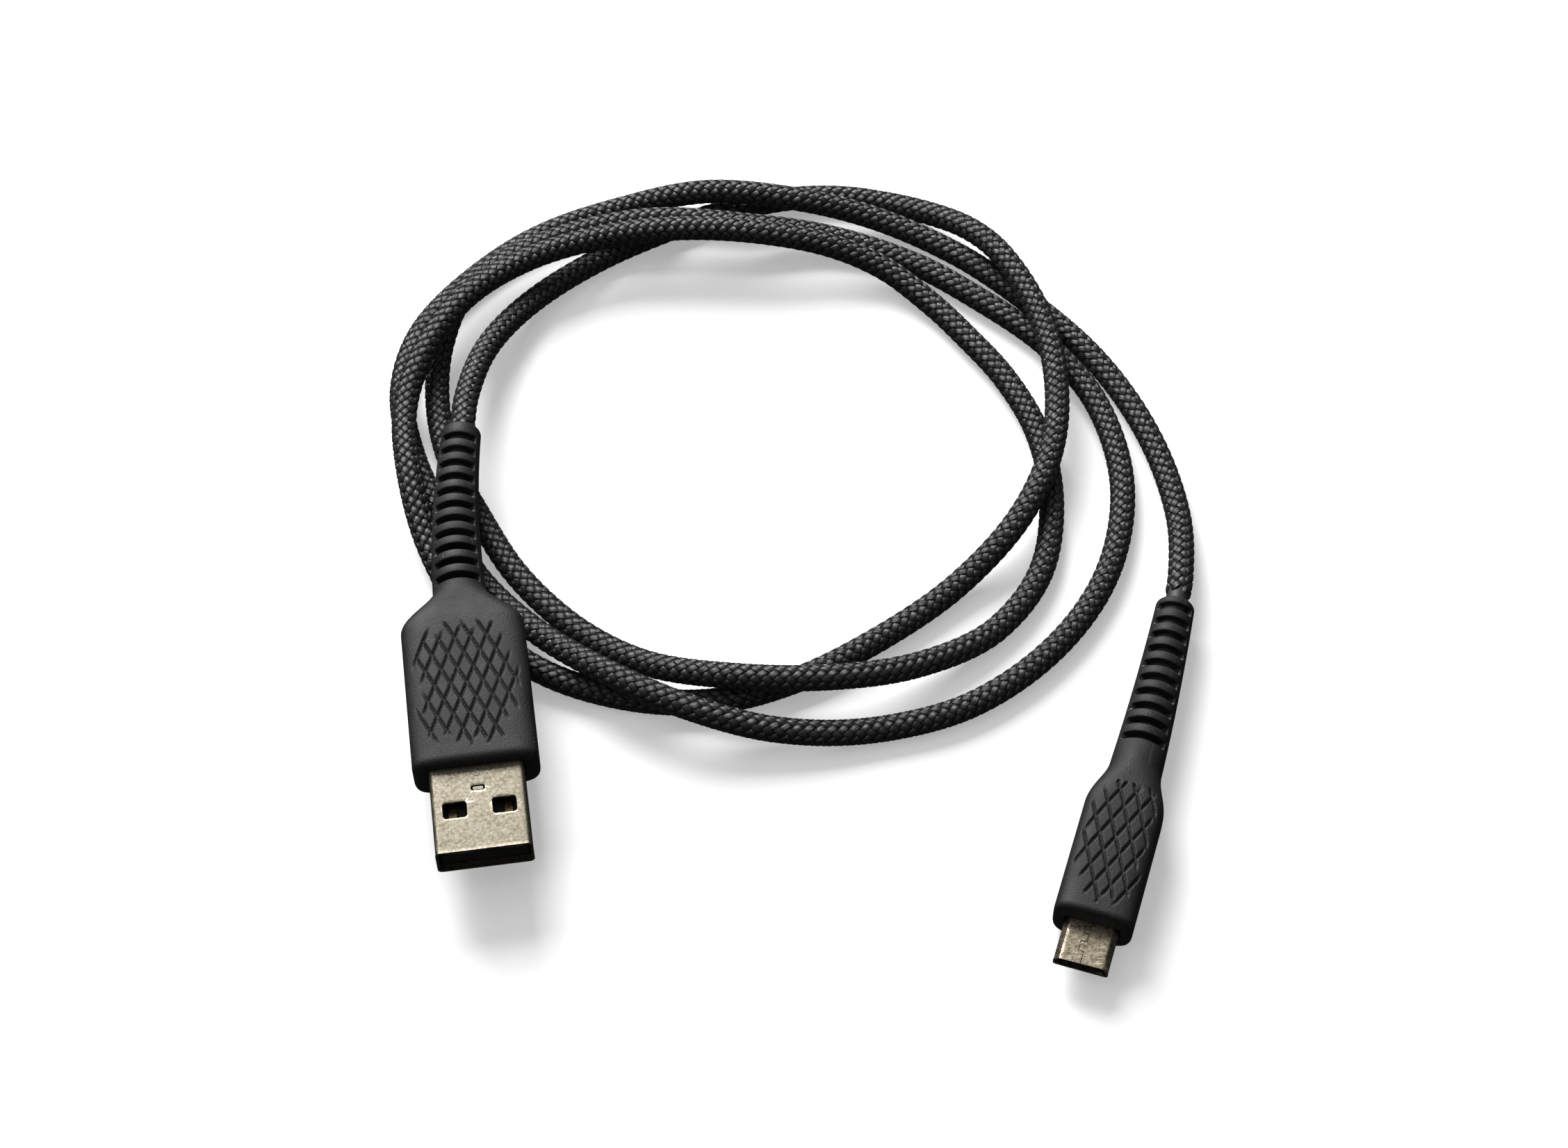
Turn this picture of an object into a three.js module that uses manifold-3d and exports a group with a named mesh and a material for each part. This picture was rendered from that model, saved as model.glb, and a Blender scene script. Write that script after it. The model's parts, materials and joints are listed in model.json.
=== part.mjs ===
// A braided charging lead: a large flat plug at one end, a small flat plug at the other, and one
// metre of cord lying in loose coils between them. Millimetres, +Z up, resting on z = 0.
// The origin is below the middle of the two plugs, and the large plug points along -Y.

import * as THREE from 'three';
import { mergeVertices } from 'three/addons/utils/BufferGeometryUtils.js';
import Module from 'manifold-3d';

const wasm = await Module();
wasm.setup();

// Driving dimensions. Along a plug, distances count from the front edge of its metal shell.

const jacketDiameter = 3.2;
const braidThickness = 0.15;
const faceGap = 0.3;
const slipFit = 0.15;
const boreFit = 0.2;
const restGap = 0.05;
const wireRoom = 0.05;

const cordDiameter = jacketDiameter + 2 * braidThickness;
const boreRadius = jacketDiameter / 2 + boreFit;

const large = {
  shellWidth: 12.0,
  shellHeight: 4.5,
  shellWall: 0.3,
  shellCorner: 0.6,
  shellExposed: 12.0,
  shellBuried: 7.0,
  gripSide: 2.0,
  gripCover: 1.75,
  gripLength: 21.0,
  shoulderLength: 7.0,
  bootLength: 27.0,
  neckWall: 1.7,
  tipWall: 0.85,
  skin: 0.85,
  frontWall: 1.0,
  frontRounding: 0.9,
  tipRounding: 0.75,
  squareness: 5,
  slotPitch: 2.36,
  slotWidth: 1.1,
  firstSlot: 0.7,
  plainTip: 1.7,
  bendRadius: 147,
  bendSide: 1,
  yawDegrees: 0,
  exit: [-41.9, 45.35],
  liesAt: 3.9,
  wireX: [-3.5, -1.0, 1.0, 3.5],
  wireRadius: 0.4,
  contactEnd: 2.0,
};

const small = {
  shellWidth: 6.85,
  shellSlope: 0.725,
  shellHeight: 1.8,
  shellWall: 0.2,
  shellCorner: 0.25,
  shellExposed: 5.7,
  shellBuried: 3.8,
  gripSide: 1.625,
  gripCover: 2.9,
  gripLength: 16.3,
  shoulderLength: 7.4,
  bootLength: 26.3,
  neckWall: 1.6,
  tipWall: 0.75,
  skin: 0.8,
  frontWall: 0.8,
  frontRounding: 0.6,
  tipRounding: 0.6,
  squareness: 4,
  slotPitch: 2.36,
  slotWidth: 1.1,
  firstSlot: 3.3,
  plainTip: 1.7,
  bendRadius: 430,
  bendSide: -1,
  yawDegrees: -25.4,
  exit: [49.2, 5.9],
  liesAt: 0,
  wireX: [-1.3, -0.65, 0.65, 1.3],
  wireRadius: 0.22,
  contactEnd: 1.5,
};

const slotHalfAngle = 58;

const window = { fromSide: 2.9, distance: 5.95, width: 3.0, length: 2.2 };
const tabSlot = { distance: 8.8, width: 1.75, length: 0.7 };

const largeTongue = { setback: 0.9, top: 0.1, blockBehind: 0.5, rearStop: 0.3 };
const largeContact = { width: 1.0, thickness: 0.3, middle: 0.05, outerStart: 2.0, innerStart: 3.0 };
const smallContact = { width: 0.35, thickness: 0.15, middle: -0.15, start: 1.6, pitch: 0.65, count: 5 };
const smallMouth = { setback: 0.8, margin: 0.275, bottom: -0.1, roof: 0.25, floorEnd: 0.5 };

const latch = {
  fromSide: 1.075,
  width: 0.5,
  thickness: 0.22,
  floorGap: 0.1,
  hookStart: 1.6,
  hookLength: 0.9,
  hookReach: 0.3,
  rear: 0.7,
  headroom: 0.45,
  sideRoom: 0.15,
};

const crimp = { start: 0.8, length: 3.6, thickness: 0.7 };

// The cord's middle line, from the large plug's boot to the small plug's boot.

const routePoints = [
  // away from the large plug's boot and down to the surface
  [-41.85, 45.65, 7.9],
  [-40.8, 51.8, 7.2],
  [-37.4, 61.6, 5.2],
  [-31.4, 70.0, 3.2],
  [-22.8, 77.0, 1.9],
  [-12.2, 81.9, 1.8],
  [0.0, 85.4, 1.8],
  [11.7, 86.4, 1.8],
  [22.0, 84.0, 1.8],
  [30.2, 78.6, 3.3],
  [34.2, 74.0, 4.7],
  [37.2, 68.6, 5.5],
  [40.4, 58.0, 5.5],
  [40.8, 46.0, 5.5],
  [37.8, 33.0, 5.5],
  [31.2, 22.3, 4.7],
  [21.5, 14.4, 2.2],
  [9.8, 7.6, 1.8],
  [-1.8, 2.8, 1.8],
  [-12.8, 1.0, 1.8],
  [-24.4, 3.2, 1.8],
  [-35.6, 9.4, 1.8],
  [-43.8, 19.6, 1.8],
  // second turn, lying on top along the left side
  [-48.0, 30.5, 2.9],
  [-49.7, 41.8, 5.3],
  [-49.3, 52.9, 5.6],
  [-45.8, 61.4, 6.9],
  [-39.4, 69.2, 7.9],
  [-30.0, 75.4, 7.4],
  [-18.6, 78.4, 7.0],
  [-7.2, 77.8, 7.6],
  [4.0, 75.6, 7.3],
  [13.6, 73.4, 5.3],
  [20.6, 70.0, 3.2],
  [26.0, 64.2, 1.9],
  [30.4, 56.8, 1.8],
  [34.4, 48.6, 1.8],
  [37.0, 38.8, 1.8],
  [36.8, 27.0, 1.8],
  [32.8, 14.8, 1.8],
  [25.0, 6.6, 1.8],
  [14.0, 1.8, 3.4],
  [2.4, 0.2, 5.4],
  [-10.0, 2.0, 5.6],
  [-21.4, 7.4, 3.1],
  [-30.0, 15.2, 1.8],
  [-36.6, 24.6, 1.8],
  [-40.8, 34.8, 1.8],
  // third turn, under the second on the left and leaning on it at the back
  [-44.2, 45.6, 1.8],
  [-45.0, 56.0, 2.0],
  [-43.5, 64.8, 3.5],
  [-39.4, 72.6, 5.2],
  [-31.2, 78.6, 5.0],
  [-21.0, 81.9, 4.9],
  [-10.6, 81.8, 5.7],
  [1.6, 79.4, 5.2],
  [13.0, 77.6, 3.0],
  [24.2, 72.2, 1.8],
  [33.5, 63.4, 1.8],
  [41.4, 53.6, 1.8],
  [46.2, 42.6, 1.8],
  [46.9, 28.2, 1.8],
  [42.0, 14.0, 1.8],
  [32.6, 3.0, 1.8],
  [19.8, -4.4, 1.8],
  [6.4, -6.4, 1.9],
  [-6.0, -5.4, 3.4],
  [-17.0, -1.6, 5.5],
  [-26.4, 5.0, 5.5],
  [-35.0, 14.4, 3.1],
  [-41.8, 24.8, 1.8],
  // fourth turn, outermost, ending at the small plug's boot
  [-46.2, 36.4, 1.8],
  [-49.2, 47.6, 1.8],
  [-49.8, 58.6, 1.8],
  [-46.4, 68.6, 1.8],
  [-38.2, 77.6, 1.8],
  [-27.4, 84.6, 1.8],
  [-15.6, 87.4, 2.6],
  [-3.4, 86.4, 5.4],
  [8.6, 83.4, 5.5],
  [20.0, 80.4, 3.0],
  [30.4, 73.6, 1.8],
  [40.2, 62.2, 1.8],
  [47.8, 49.8, 1.8],
  [52.3, 35.6, 1.8],
  [53.2, 21.6, 2.2],
  [51.0, 10.8, 3.7],
  [49.35, 6.15, 3.8],
];

// Where the cord lies on the surface its middle line is a little over its radius above it.

const restHeight = cordDiameter / 2 + restGap;
const cordSteps = 82;
const cordSides = 8;
const mouldingSides = 28;

// Solids: closed meshes and the cuts made in them.

function toSolid(geometry) {
  const bare = geometry.clone();
  bare.deleteAttribute('normal');
  bare.deleteAttribute('uv');
  const merged = mergeVertices(bare, 1e-5);
  return new wasm.Manifold(new wasm.Mesh({
    numProp: 3,
    vertProperties: new Float32Array(merged.attributes.position.array),
    triVerts: new Uint32Array(merged.index.array),
  }));
}

function toGeometry(solid) {
  const mesh = solid.getMesh();
  const geometry = new THREE.BufferGeometry();
  geometry.setAttribute('position', new THREE.Float32BufferAttribute(mesh.vertProperties, 3));
  geometry.setIndex(Array.from(mesh.triVerts));
  geometry.computeVertexNormals();
  return geometry;
}

function cut(geometry, cutters) {
  let solid = toSolid(geometry);
  for (const cutter of cutters) {
    solid = solid.subtract(toSolid(cutter));
  }
  return toGeometry(solid);
}

function join(first, second) {
  return toGeometry(toSolid(first).add(toSolid(second)));
}

// A box from its limits across (x), along (y) and above (z) the plug's axis.

function boxBetween(x0, x1, y0, y1, z0, z1) {
  const geometry = new THREE.BoxGeometry(x1 - x0, y1 - y0, z1 - z0);
  geometry.translate((x0 + x1) / 2, (y0 + y1) / 2, (z0 + z1) / 2);
  return geometry;
}

// A flat outline in x and z, extruded from one distance along the axis to another.

function alongAxis(points, from, to, steps = 1) {
  const geometry = new THREE.ExtrudeGeometry(new THREE.Shape(points), {
    depth: to - from,
    steps,
    bevelEnabled: false,
  });
  geometry.rotateX(Math.PI / 2);
  geometry.translate(0, to, 0);
  return geometry;
}

function circle(radius, sides) {
  const points = [];
  for (let i = 0; i < sides; i += 1) {
    const angle = (i / sides) * 2 * Math.PI;
    points.push(new THREE.Vector2(radius * Math.cos(angle), radius * Math.sin(angle)));
  }
  return points;
}

function roundedRectangle(width, height, radius, cornerSteps = 3) {
  const points = [];
  for (let corner = 0; corner < 4; corner += 1) {
    const cx = (corner === 0 || corner === 3 ? 1 : -1) * (width / 2 - radius);
    const cz = (corner < 2 ? 1 : -1) * (height / 2 - radius);
    for (let i = 0; i <= cornerSteps; i += 1) {
      const angle = (corner + i / cornerSteps) * (Math.PI / 2);
      points.push(new THREE.Vector2(cx + radius * Math.cos(angle), cz + radius * Math.sin(angle)));
    }
  }
  return points;
}

// Moves each side of a convex outline inward by the same distance.

function inset(points, distance) {
  const count = points.length;
  return points.map((point, i) => {
    const before = new THREE.Vector2().subVectors(point, points[(i + count - 1) % count]).normalize();
    const after = new THREE.Vector2().subVectors(points[(i + 1) % count], point).normalize();
    const inward = new THREE.Vector2(-before.y - after.y, before.x + after.x).normalize();
    const halfTurn = inward.x * -before.y + inward.y * before.x;
    return point.clone().addScaledVector(inward, distance / halfTurn);
  });
}

// The middle line of a plug is straight through the grip and then leans to one side in an arc.

function bendStart(plug) {
  return plug.shellExposed + plug.gripLength + plug.shoulderLength;
}

function plugLength(plug) {
  return bendStart(plug) + plug.bootLength;
}

function bendPoint(plug, point) {
  const beyond = point.y - bendStart(plug);
  if (beyond <= 0) {
    return point.clone();
  }
  const angle = beyond / plug.bendRadius;
  const radius = plug.bendRadius - plug.bendSide * point.x;
  return new THREE.Vector3(
    plug.bendSide * (plug.bendRadius - radius * Math.cos(angle)),
    bendStart(plug) + radius * Math.sin(angle),
    point.z,
  );
}

function bend(plug, geometry) {
  const position = geometry.attributes.position;
  const point = new THREE.Vector3();
  for (let i = 0; i < position.count; i += 1) {
    point.copy(bendPoint(plug, point.fromBufferAttribute(position, i)));
    position.setXYZ(i, point.x, point.y, point.z);
  }
  return geometry;
}

// Half width and half height of the moulding at a distance along the axis.

function gripHalfWidth(plug) {
  return plug.shellWidth / 2 + plug.gripSide;
}

function gripHalfHeight(plug) {
  return plug.shellHeight / 2 + plug.gripCover;
}

function neckRadius(plug) {
  return boreRadius + plug.neckWall;
}

function edgeLoss(distanceFromEnd, rounding) {
  const t = Math.min(Math.max(distanceFromEnd / rounding, 0), 1);
  return rounding * (1 - Math.sqrt(1 - (1 - t) * (1 - t)));
}

function shoulderBlend(plug, s) {
  const start = plug.shellExposed + plug.gripLength;
  return THREE.MathUtils.smoothstep(s, start, start + plug.shoulderLength);
}

function mouldingHalfSize(plug, s) {
  const end = plugLength(plug);
  const alongBoot = Math.max(0, (s - bendStart(plug)) / plug.bootLength);
  const boot = THREE.MathUtils.lerp(neckRadius(plug), boreRadius + plug.tipWall, alongBoot);
  const blend = shoulderBlend(plug, s);
  const loss = edgeLoss(s - plug.shellExposed, plug.frontRounding) + edgeLoss(end - s, plug.tipRounding);
  return {
    width: THREE.MathUtils.lerp(gripHalfWidth(plug), boot, blend) - loss,
    height: THREE.MathUtils.lerp(gripHalfHeight(plug), boot, blend) - loss,
    squareness: THREE.MathUtils.lerp(plug.squareness, 2, blend),
  };
}

// A closed skin through superellipse rings, with a flat cap at each end.

function loft(stations, halfSizeAt, sides) {
  const vertices = [];
  const faces = [];
  for (const s of stations) {
    const { width, height, squareness } = halfSizeAt(s);
    for (let i = 0; i < sides; i += 1) {
      const angle = (i / sides) * 2 * Math.PI;
      const c = Math.cos(angle);
      const d = Math.sin(angle);
      vertices.push(
        width * Math.sign(c) * Math.abs(c) ** (2 / squareness),
        s,
        height * Math.sign(d) * Math.abs(d) ** (2 / squareness),
      );
    }
  }
  const last = (stations.length - 1) * sides;
  for (let ring = 0; ring < stations.length - 1; ring += 1) {
    for (let i = 0; i < sides; i += 1) {
      const a = ring * sides + i;
      const b = ring * sides + ((i + 1) % sides);
      faces.push(a, a + sides, b, b, a + sides, b + sides);
    }
  }
  for (let i = 1; i < sides - 1; i += 1) {
    faces.push(0, i, i + 1, last, last + i + 1, last + i);
  }
  const geometry = new THREE.BufferGeometry();
  geometry.setAttribute('position', new THREE.Float32BufferAttribute(vertices, 3));
  geometry.setIndex(faces);
  return geometry;
}

function spread(from, to, count) {
  return Array.from({ length: count + 1 }, (_, i) => from + ((to - from) * i) / count);
}

// Stations crowd together where the outline curves: the front edge, the shoulders and the tip.

function mouldingStations(plug) {
  const front = plug.shellExposed;
  const shoulder = front + plug.gripLength;
  const end = plugLength(plug);
  return [
    ...[0, 0.15, 0.45].map((share) => front + share * plug.frontRounding),
    front + plug.frontRounding,
    ...spread(shoulder, bendStart(plug), 7),
    ...spread(bendStart(plug), end - plug.tipRounding, 7).slice(1),
    ...[0.55, 0.85, 1].map((share) => end - (1 - share) * plug.tipRounding),
  ];
}

// Overmould: grip and flexible boot in one, hollow for the inner mould and bored for the cord.

function pocketHalfSize(plug) {
  return { width: gripHalfWidth(plug) - plug.skin, height: gripHalfHeight(plug) - plug.skin };
}

function slotCount(plug) {
  return 1 + Math.floor((plug.bootLength - plug.firstSlot - plug.plainTip) / plug.slotPitch);
}

function slotCutter(plug, index, side) {
  const inner = jacketDiameter / 2;
  const outer = neckRadius(plug) + 1;
  const half = THREE.MathUtils.degToRad(slotHalfAngle);
  const points = [];
  for (const t of spread(-half, half, 4)) {
    points.push(new THREE.Vector2(outer * Math.sin(t), side * outer * Math.cos(t)));
  }
  for (const t of spread(half, -half, 2)) {
    points.push(new THREE.Vector2(inner * Math.sin(t), side * inner * Math.cos(t)));
  }
  const middle = bendStart(plug) + plug.firstSlot + index * plug.slotPitch;
  return bend(plug, alongAxis(points, middle - plug.slotWidth / 2, middle + plug.slotWidth / 2));
}

function overmouldGeometry(plug, opening) {
  const front = plug.shellExposed;
  const pocketEnd = front + plug.gripLength;
  const pocket = pocketHalfSize(plug);
  const ringHalf = jacketDiameter / 2 + slipFit + crimp.thickness + slipFit;
  const cutters = [
    alongAxis(opening, front - 1, front + plug.frontWall + 0.1),
    alongAxis(
      roundedRectangle(2 * pocket.width, 2 * pocket.height, 1.0),
      front + plug.frontWall,
      pocketEnd,
    ),
    alongAxis(circle(ringHalf, 20), pocketEnd - 0.1, pocketEnd + crimp.start + crimp.length + faceGap),
    bend(plug, alongAxis(circle(boreRadius, 12), pocketEnd, plugLength(plug) + 1, 6)),
  ];
  for (let index = 0; index < slotCount(plug); index += 1) {
    cutters.push(slotCutter(plug, index, 1), slotCutter(plug, index, -1));
  }
  const body = bend(plug, loft(mouldingStations(plug), (s) => mouldingHalfSize(plug, s), mouldingSides));
  return cut(body, cutters);
}

// Inner mould: a stiff box round the back of the shell, the solder tails and the wires.

function jacketStart(plug) {
  return plug.shellExposed + plug.gripLength - 1.0;
}

function innerMouldGeometry(plug, opening) {
  const pocket = pocketHalfSize(plug);
  const start = plug.shellExposed + plug.frontWall + slipFit;
  const end = plug.shellExposed + plug.gripLength - slipFit;
  const shellEnd = plug.shellExposed + plug.shellBuried;
  const wires = wireSpacing() + plug.wireRadius;
  const block = alongAxis(
    roundedRectangle(2 * (pocket.width - slipFit), 2 * (pocket.height - slipFit), 0.9),
    start,
    end,
  );
  return cut(block, [
    alongAxis(opening, start - 1, shellEnd + slipFit),
    alongAxis(inset(opening, plug.shellWall), shellEnd, end - 2.0),
    boxBetween(
      -wires - slipFit, wires + slipFit,
      shellEnd, end - 2.0,
      -wires - wireRoom, wires + wireRoom,
    ),
    alongAxis(circle(boreRadius, 12), end - 2.5, end + 1),
  ]);
}

// Jacket: the last of the cord's own sleeve, held inside the boot and the crimp ring.

function jacketGeometry(plug) {
  const start = jacketStart(plug);
  return bend(plug, alongAxis(circle(jacketDiameter / 2, 12), start, plugLength(plug) - faceGap, 6));
}

function crimpGeometry(plug) {
  const start = plug.shellExposed + plug.gripLength + crimp.start;
  const inner = jacketDiameter / 2 + slipFit;
  const outer = circle(inner + crimp.thickness, 20);
  return cut(alongAxis(outer, start, start + crimp.length), [
    alongAxis(circle(inner, 20), start - 1, start + crimp.length + 1),
  ]);
}

function wireSpacing() {
  return jacketDiameter * 0.17;
}

function wireGeometry(plug, index) {
  const start = plug.shellExposed + plug.shellBuried + plug.contactEnd + faceGap;
  const end = jacketStart(plug) - faceGap;
  const spacing = wireSpacing();
  const endX = (index < 2 ? -1 : 1) * spacing;
  const endZ = (index % 3 === 0 ? 1 : -1) * spacing;
  const startX = plug.wireX[index];
  const startZ = contactMiddle(plug);
  const path = new THREE.CatmullRomCurve3([
    new THREE.Vector3(startX, start, startZ),
    new THREE.Vector3(startX, start + (end - start) * 0.2, startZ),
    new THREE.Vector3(endX, start + (end - start) * 0.85, endZ),
    new THREE.Vector3(endX, end, endZ),
  ]);
  return new THREE.ExtrudeGeometry(new THREE.Shape(circle(plug.wireRadius, 8)), {
    steps: 8,
    extrudePath: path,
    bevelEnabled: false,
  });
}

function contactMiddle(plug) {
  return plug === large ? largeContact.middle : smallContact.middle;
}

// Large plug: a rolled metal shell with two windows above and two below, and a tongue in its
// lower half that carries four contacts.

function largeShellOutline() {
  return roundedRectangle(large.shellWidth, large.shellHeight, large.shellCorner);
}

function largeShellGeometry() {
  const end = large.shellExposed + large.shellBuried;
  const outline = largeShellOutline();
  const tall = large.shellHeight;
  const cutters = [alongAxis(inset(outline, large.shellWall), -1, end + 1)];
  for (const side of [-1, 1]) {
    const x = side * (large.shellWidth / 2 - window.fromSide);
    cutters.push(boxBetween(
      x - window.width / 2, x + window.width / 2,
      window.distance - window.length / 2, window.distance + window.length / 2,
      -tall, tall,
    ));
  }
  cutters.push(boxBetween(
    -tabSlot.width / 2, tabSlot.width / 2,
    tabSlot.distance - tabSlot.length / 2, tabSlot.distance + tabSlot.length / 2,
    0, tall,
  ));
  return cut(alongAxis(outline, 0, end), cutters);
}

function largeContactStart(index) {
  return index === 0 || index === 3 ? largeContact.outerStart : largeContact.innerStart;
}

function contactBar(plug, x, size, start, grow) {
  const end = plug.shellExposed + plug.shellBuried + plug.contactEnd;
  return boxBetween(
    x - size.width / 2 - grow, x + size.width / 2 + grow,
    start - grow, end + 10 * grow,
    size.middle - size.thickness / 2 - grow, size.middle + size.thickness / 2 + grow,
  );
}

function largeInsulatorGeometry() {
  const halfWidth = large.shellWidth / 2 - large.shellWall - slipFit - 0.15;
  const halfHeight = large.shellHeight / 2 - large.shellWall - slipFit;
  const end = large.shellExposed + large.shellBuried - largeTongue.rearStop;
  const blockStart = large.shellExposed + largeTongue.blockBehind;
  const tongue = boxBetween(-halfWidth, halfWidth, largeTongue.setback, blockStart + 1, -halfHeight, largeTongue.top);
  const block = boxBetween(-halfWidth, halfWidth, blockStart, end, -halfHeight, halfHeight);
  const grooves = large.wireX.map((x, i) => contactBar(large, x, largeContact, largeContactStart(i), slipFit));
  return cut(join(tongue, block), grooves);
}

// Small plug: a shell with a narrow upper side and sloping shoulders, an insulator with a slot
// across its mouth, five contacts, and two sprung hooks that reach through the shell's underside.

function smallShellOutline() {
  const half = small.shellWidth / 2;
  const slope = small.shellSlope;
  const top = half - slope;
  const tall = small.shellHeight / 2;
  const corner = small.shellCorner;
  return [
    [half, -tall + corner], [half, tall - slope], [top, tall], [-top, tall],
    [-half, tall - slope], [-half, -tall + corner], [-half + corner, -tall], [half - corner, -tall],
  ].map(([x, z]) => new THREE.Vector2(x, z));
}

function latchOffset() {
  return small.shellWidth / 2 - latch.fromSide;
}

function latchPivot() {
  return small.shellExposed + small.shellBuried - latch.rear;
}

function smallShellGeometry() {
  const end = small.shellExposed + small.shellBuried;
  const outline = smallShellOutline();
  const cutters = [alongAxis(inset(outline, small.shellWall), -1, end + 1)];
  for (const side of [-1, 1]) {
    const x = side * latchOffset();
    const half = latch.width / 2 + latch.sideRoom;
    cutters.push(boxBetween(
      x - half, x + half,
      latch.hookStart - 0.4, latch.hookStart + latch.hookLength + 0.5,
      -small.shellHeight, -small.shellHeight / 2 + small.shellWall + 0.05,
    ));
  }
  return cut(alongAxis(outline, 0, end), cutters);
}

function smallContactX(index) {
  return (index - (smallContact.count - 1) / 2) * smallContact.pitch;
}

function latchBottom() {
  return -small.shellHeight / 2 + small.shellWall + latch.floorGap;
}

function smallInsulatorGeometry() {
  const clearance = small.shellWall + 0.1;
  const end = small.shellExposed + small.shellBuried - 0.2;
  const block = alongAxis(inset(smallShellOutline(), clearance), smallMouth.setback, end);
  const mouthHalf = smallContactX(smallContact.count - 1) + smallContact.width / 2 + smallMouth.margin;
  const cutters = [boxBetween(
    -mouthHalf, mouthHalf,
    smallMouth.setback - 1, small.shellExposed - smallMouth.floorEnd,
    smallMouth.bottom, small.shellHeight / 2 - clearance - smallMouth.roof,
  )];
  for (let i = 0; i < smallContact.count; i += 1) {
    cutters.push(contactBar(small, smallContactX(i), smallContact, smallContact.start, 0.08));
  }
  for (const side of [-1, 1]) {
    const x = side * latchOffset();
    const half = latch.width / 2 + latch.sideRoom;
    cutters.push(boxBetween(
      x - half, x + half,
      smallMouth.setback - 1, latchPivot() + latch.sideRoom,
      -small.shellHeight, latchBottom() + latch.thickness + latch.headroom,
    ));
  }
  return cut(block, cutters);
}

function latchGeometry(side) {
  const x = side * latchOffset();
  const half = latch.width / 2;
  const bottom = latchBottom();
  const arm = boxBetween(x - half, x + half, latch.hookStart, latchPivot(), bottom, bottom + latch.thickness);
  const hook = boxBetween(
    x - half, x + half,
    latch.hookStart, latch.hookStart + latch.hookLength,
    -small.shellHeight / 2 - latch.hookReach, bottom + latch.thickness / 2,
  );
  return join(arm, hook);
}

// Materials, one made for each mesh.

const finishes = {
  moulding: { color: 0x2b2b2d, roughness: 0.78, metalness: 0 },
  innerMould: { color: 0xb9b6ad, roughness: 0.6, metalness: 0 },
  largeShell: { color: 0xb9ab98, roughness: 0.42, metalness: 1 },
  smallShell: { color: 0xa08a6c, roughness: 0.4, metalness: 1 },
  insulator: { color: 0x17171a, roughness: 0.55, metalness: 0 },
  contact: { color: 0xc9a24a, roughness: 0.25, metalness: 1 },
  spring: { color: 0xb4b4b4, roughness: 0.3, metalness: 1 },
  crimp: { color: 0xa7a9ac, roughness: 0.4, metalness: 1 },
  jacket: { color: 0x1b1b1d, roughness: 0.7, metalness: 0 },
  braid: { color: 0x242427, roughness: 0.85, metalness: 0 },
  wireRed: { color: 0xb3261e, roughness: 0.5, metalness: 0 },
  wireWhite: { color: 0xe9e7e0, roughness: 0.5, metalness: 0 },
  wireGreen: { color: 0x2c7a3d, roughness: 0.5, metalness: 0 },
  wireBlack: { color: 0x1e1e1e, roughness: 0.5, metalness: 0 },
};

const wireColours = ['wireRed', 'wireWhite', 'wireGreen', 'wireBlack'];

function addMesh(group, name, geometry, finish) {
  const mesh = new THREE.Mesh(geometry, new THREE.MeshStandardMaterial(finishes[finish]));
  mesh.name = name;
  group.add(mesh);
}

// A plug's group stands so that the end of its boot meets the start of the cord.

function plugGroup(plug) {
  const group = new THREE.Group();
  const yaw = THREE.MathUtils.degToRad(plug.yawDegrees);
  const end = bendPoint(plug, new THREE.Vector3(0, plugLength(plug), 0));
  end.applyAxisAngle(new THREE.Vector3(0, 0, 1), yaw);
  group.position.set(
    plug.exit[0] - end.x,
    plug.exit[1] - end.y,
    plug.liesAt + gripHalfHeight(plug),
  );
  group.rotation.z = yaw;
  return group;
}

function addCommonPieces(group, plug, prefix, outline) {
  const opening = inset(outline, -slipFit);
  addMesh(group, `${prefix}_overmould`, overmouldGeometry(plug, opening), 'moulding');
  addMesh(group, `${prefix}_inner_mould`, innerMouldGeometry(plug, opening), 'innerMould');
  addMesh(group, `${prefix}_jacket`, jacketGeometry(plug), 'jacket');
  addMesh(group, `${prefix}_crimp_ring`, crimpGeometry(plug), 'crimp');
  plug.wireX.forEach((_, i) => {
    addMesh(group, `${prefix}_wire_${i + 1}`, wireGeometry(plug, i), wireColours[i]);
  });
}

function makeLargePlug() {
  const group = plugGroup(large);
  addCommonPieces(group, large, 'usb_a', largeShellOutline());
  addMesh(group, 'usb_a_shell', largeShellGeometry(), 'largeShell');
  addMesh(group, 'usb_a_insulator', largeInsulatorGeometry(), 'insulator');
  large.wireX.forEach((x, i) => {
    const bar = contactBar(large, x, largeContact, largeContactStart(i), 0);
    addMesh(group, `usb_a_contact_${i + 1}`, bar, 'contact');
  });
  return group;
}

function makeSmallPlug() {
  const group = plugGroup(small);
  addCommonPieces(group, small, 'micro', smallShellOutline());
  addMesh(group, 'micro_shell', smallShellGeometry(), 'smallShell');
  addMesh(group, 'micro_insulator', smallInsulatorGeometry(), 'insulator');
  for (let i = 0; i < smallContact.count; i += 1) {
    const bar = contactBar(small, smallContactX(i), smallContact, smallContact.start, 0);
    addMesh(group, `micro_contact_${i + 1}`, bar, 'contact');
  }
  addMesh(group, 'micro_latch_left', latchGeometry(-1), 'spring');
  addMesh(group, 'micro_latch_right', latchGeometry(1), 'spring');
  return group;
}

// Cord: one tube along the whole route, which never dips below the height it rests at.

class RestingRoute extends THREE.Curve {
  constructor(points) {
    super();
    this.smooth = new THREE.CatmullRomCurve3(points, false, 'centripetal');
  }

  getPoint(t, target = new THREE.Vector3()) {
    this.smooth.getPoint(t, target);
    target.z = Math.max(target.z, restHeight);
    return target;
  }
}

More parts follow.
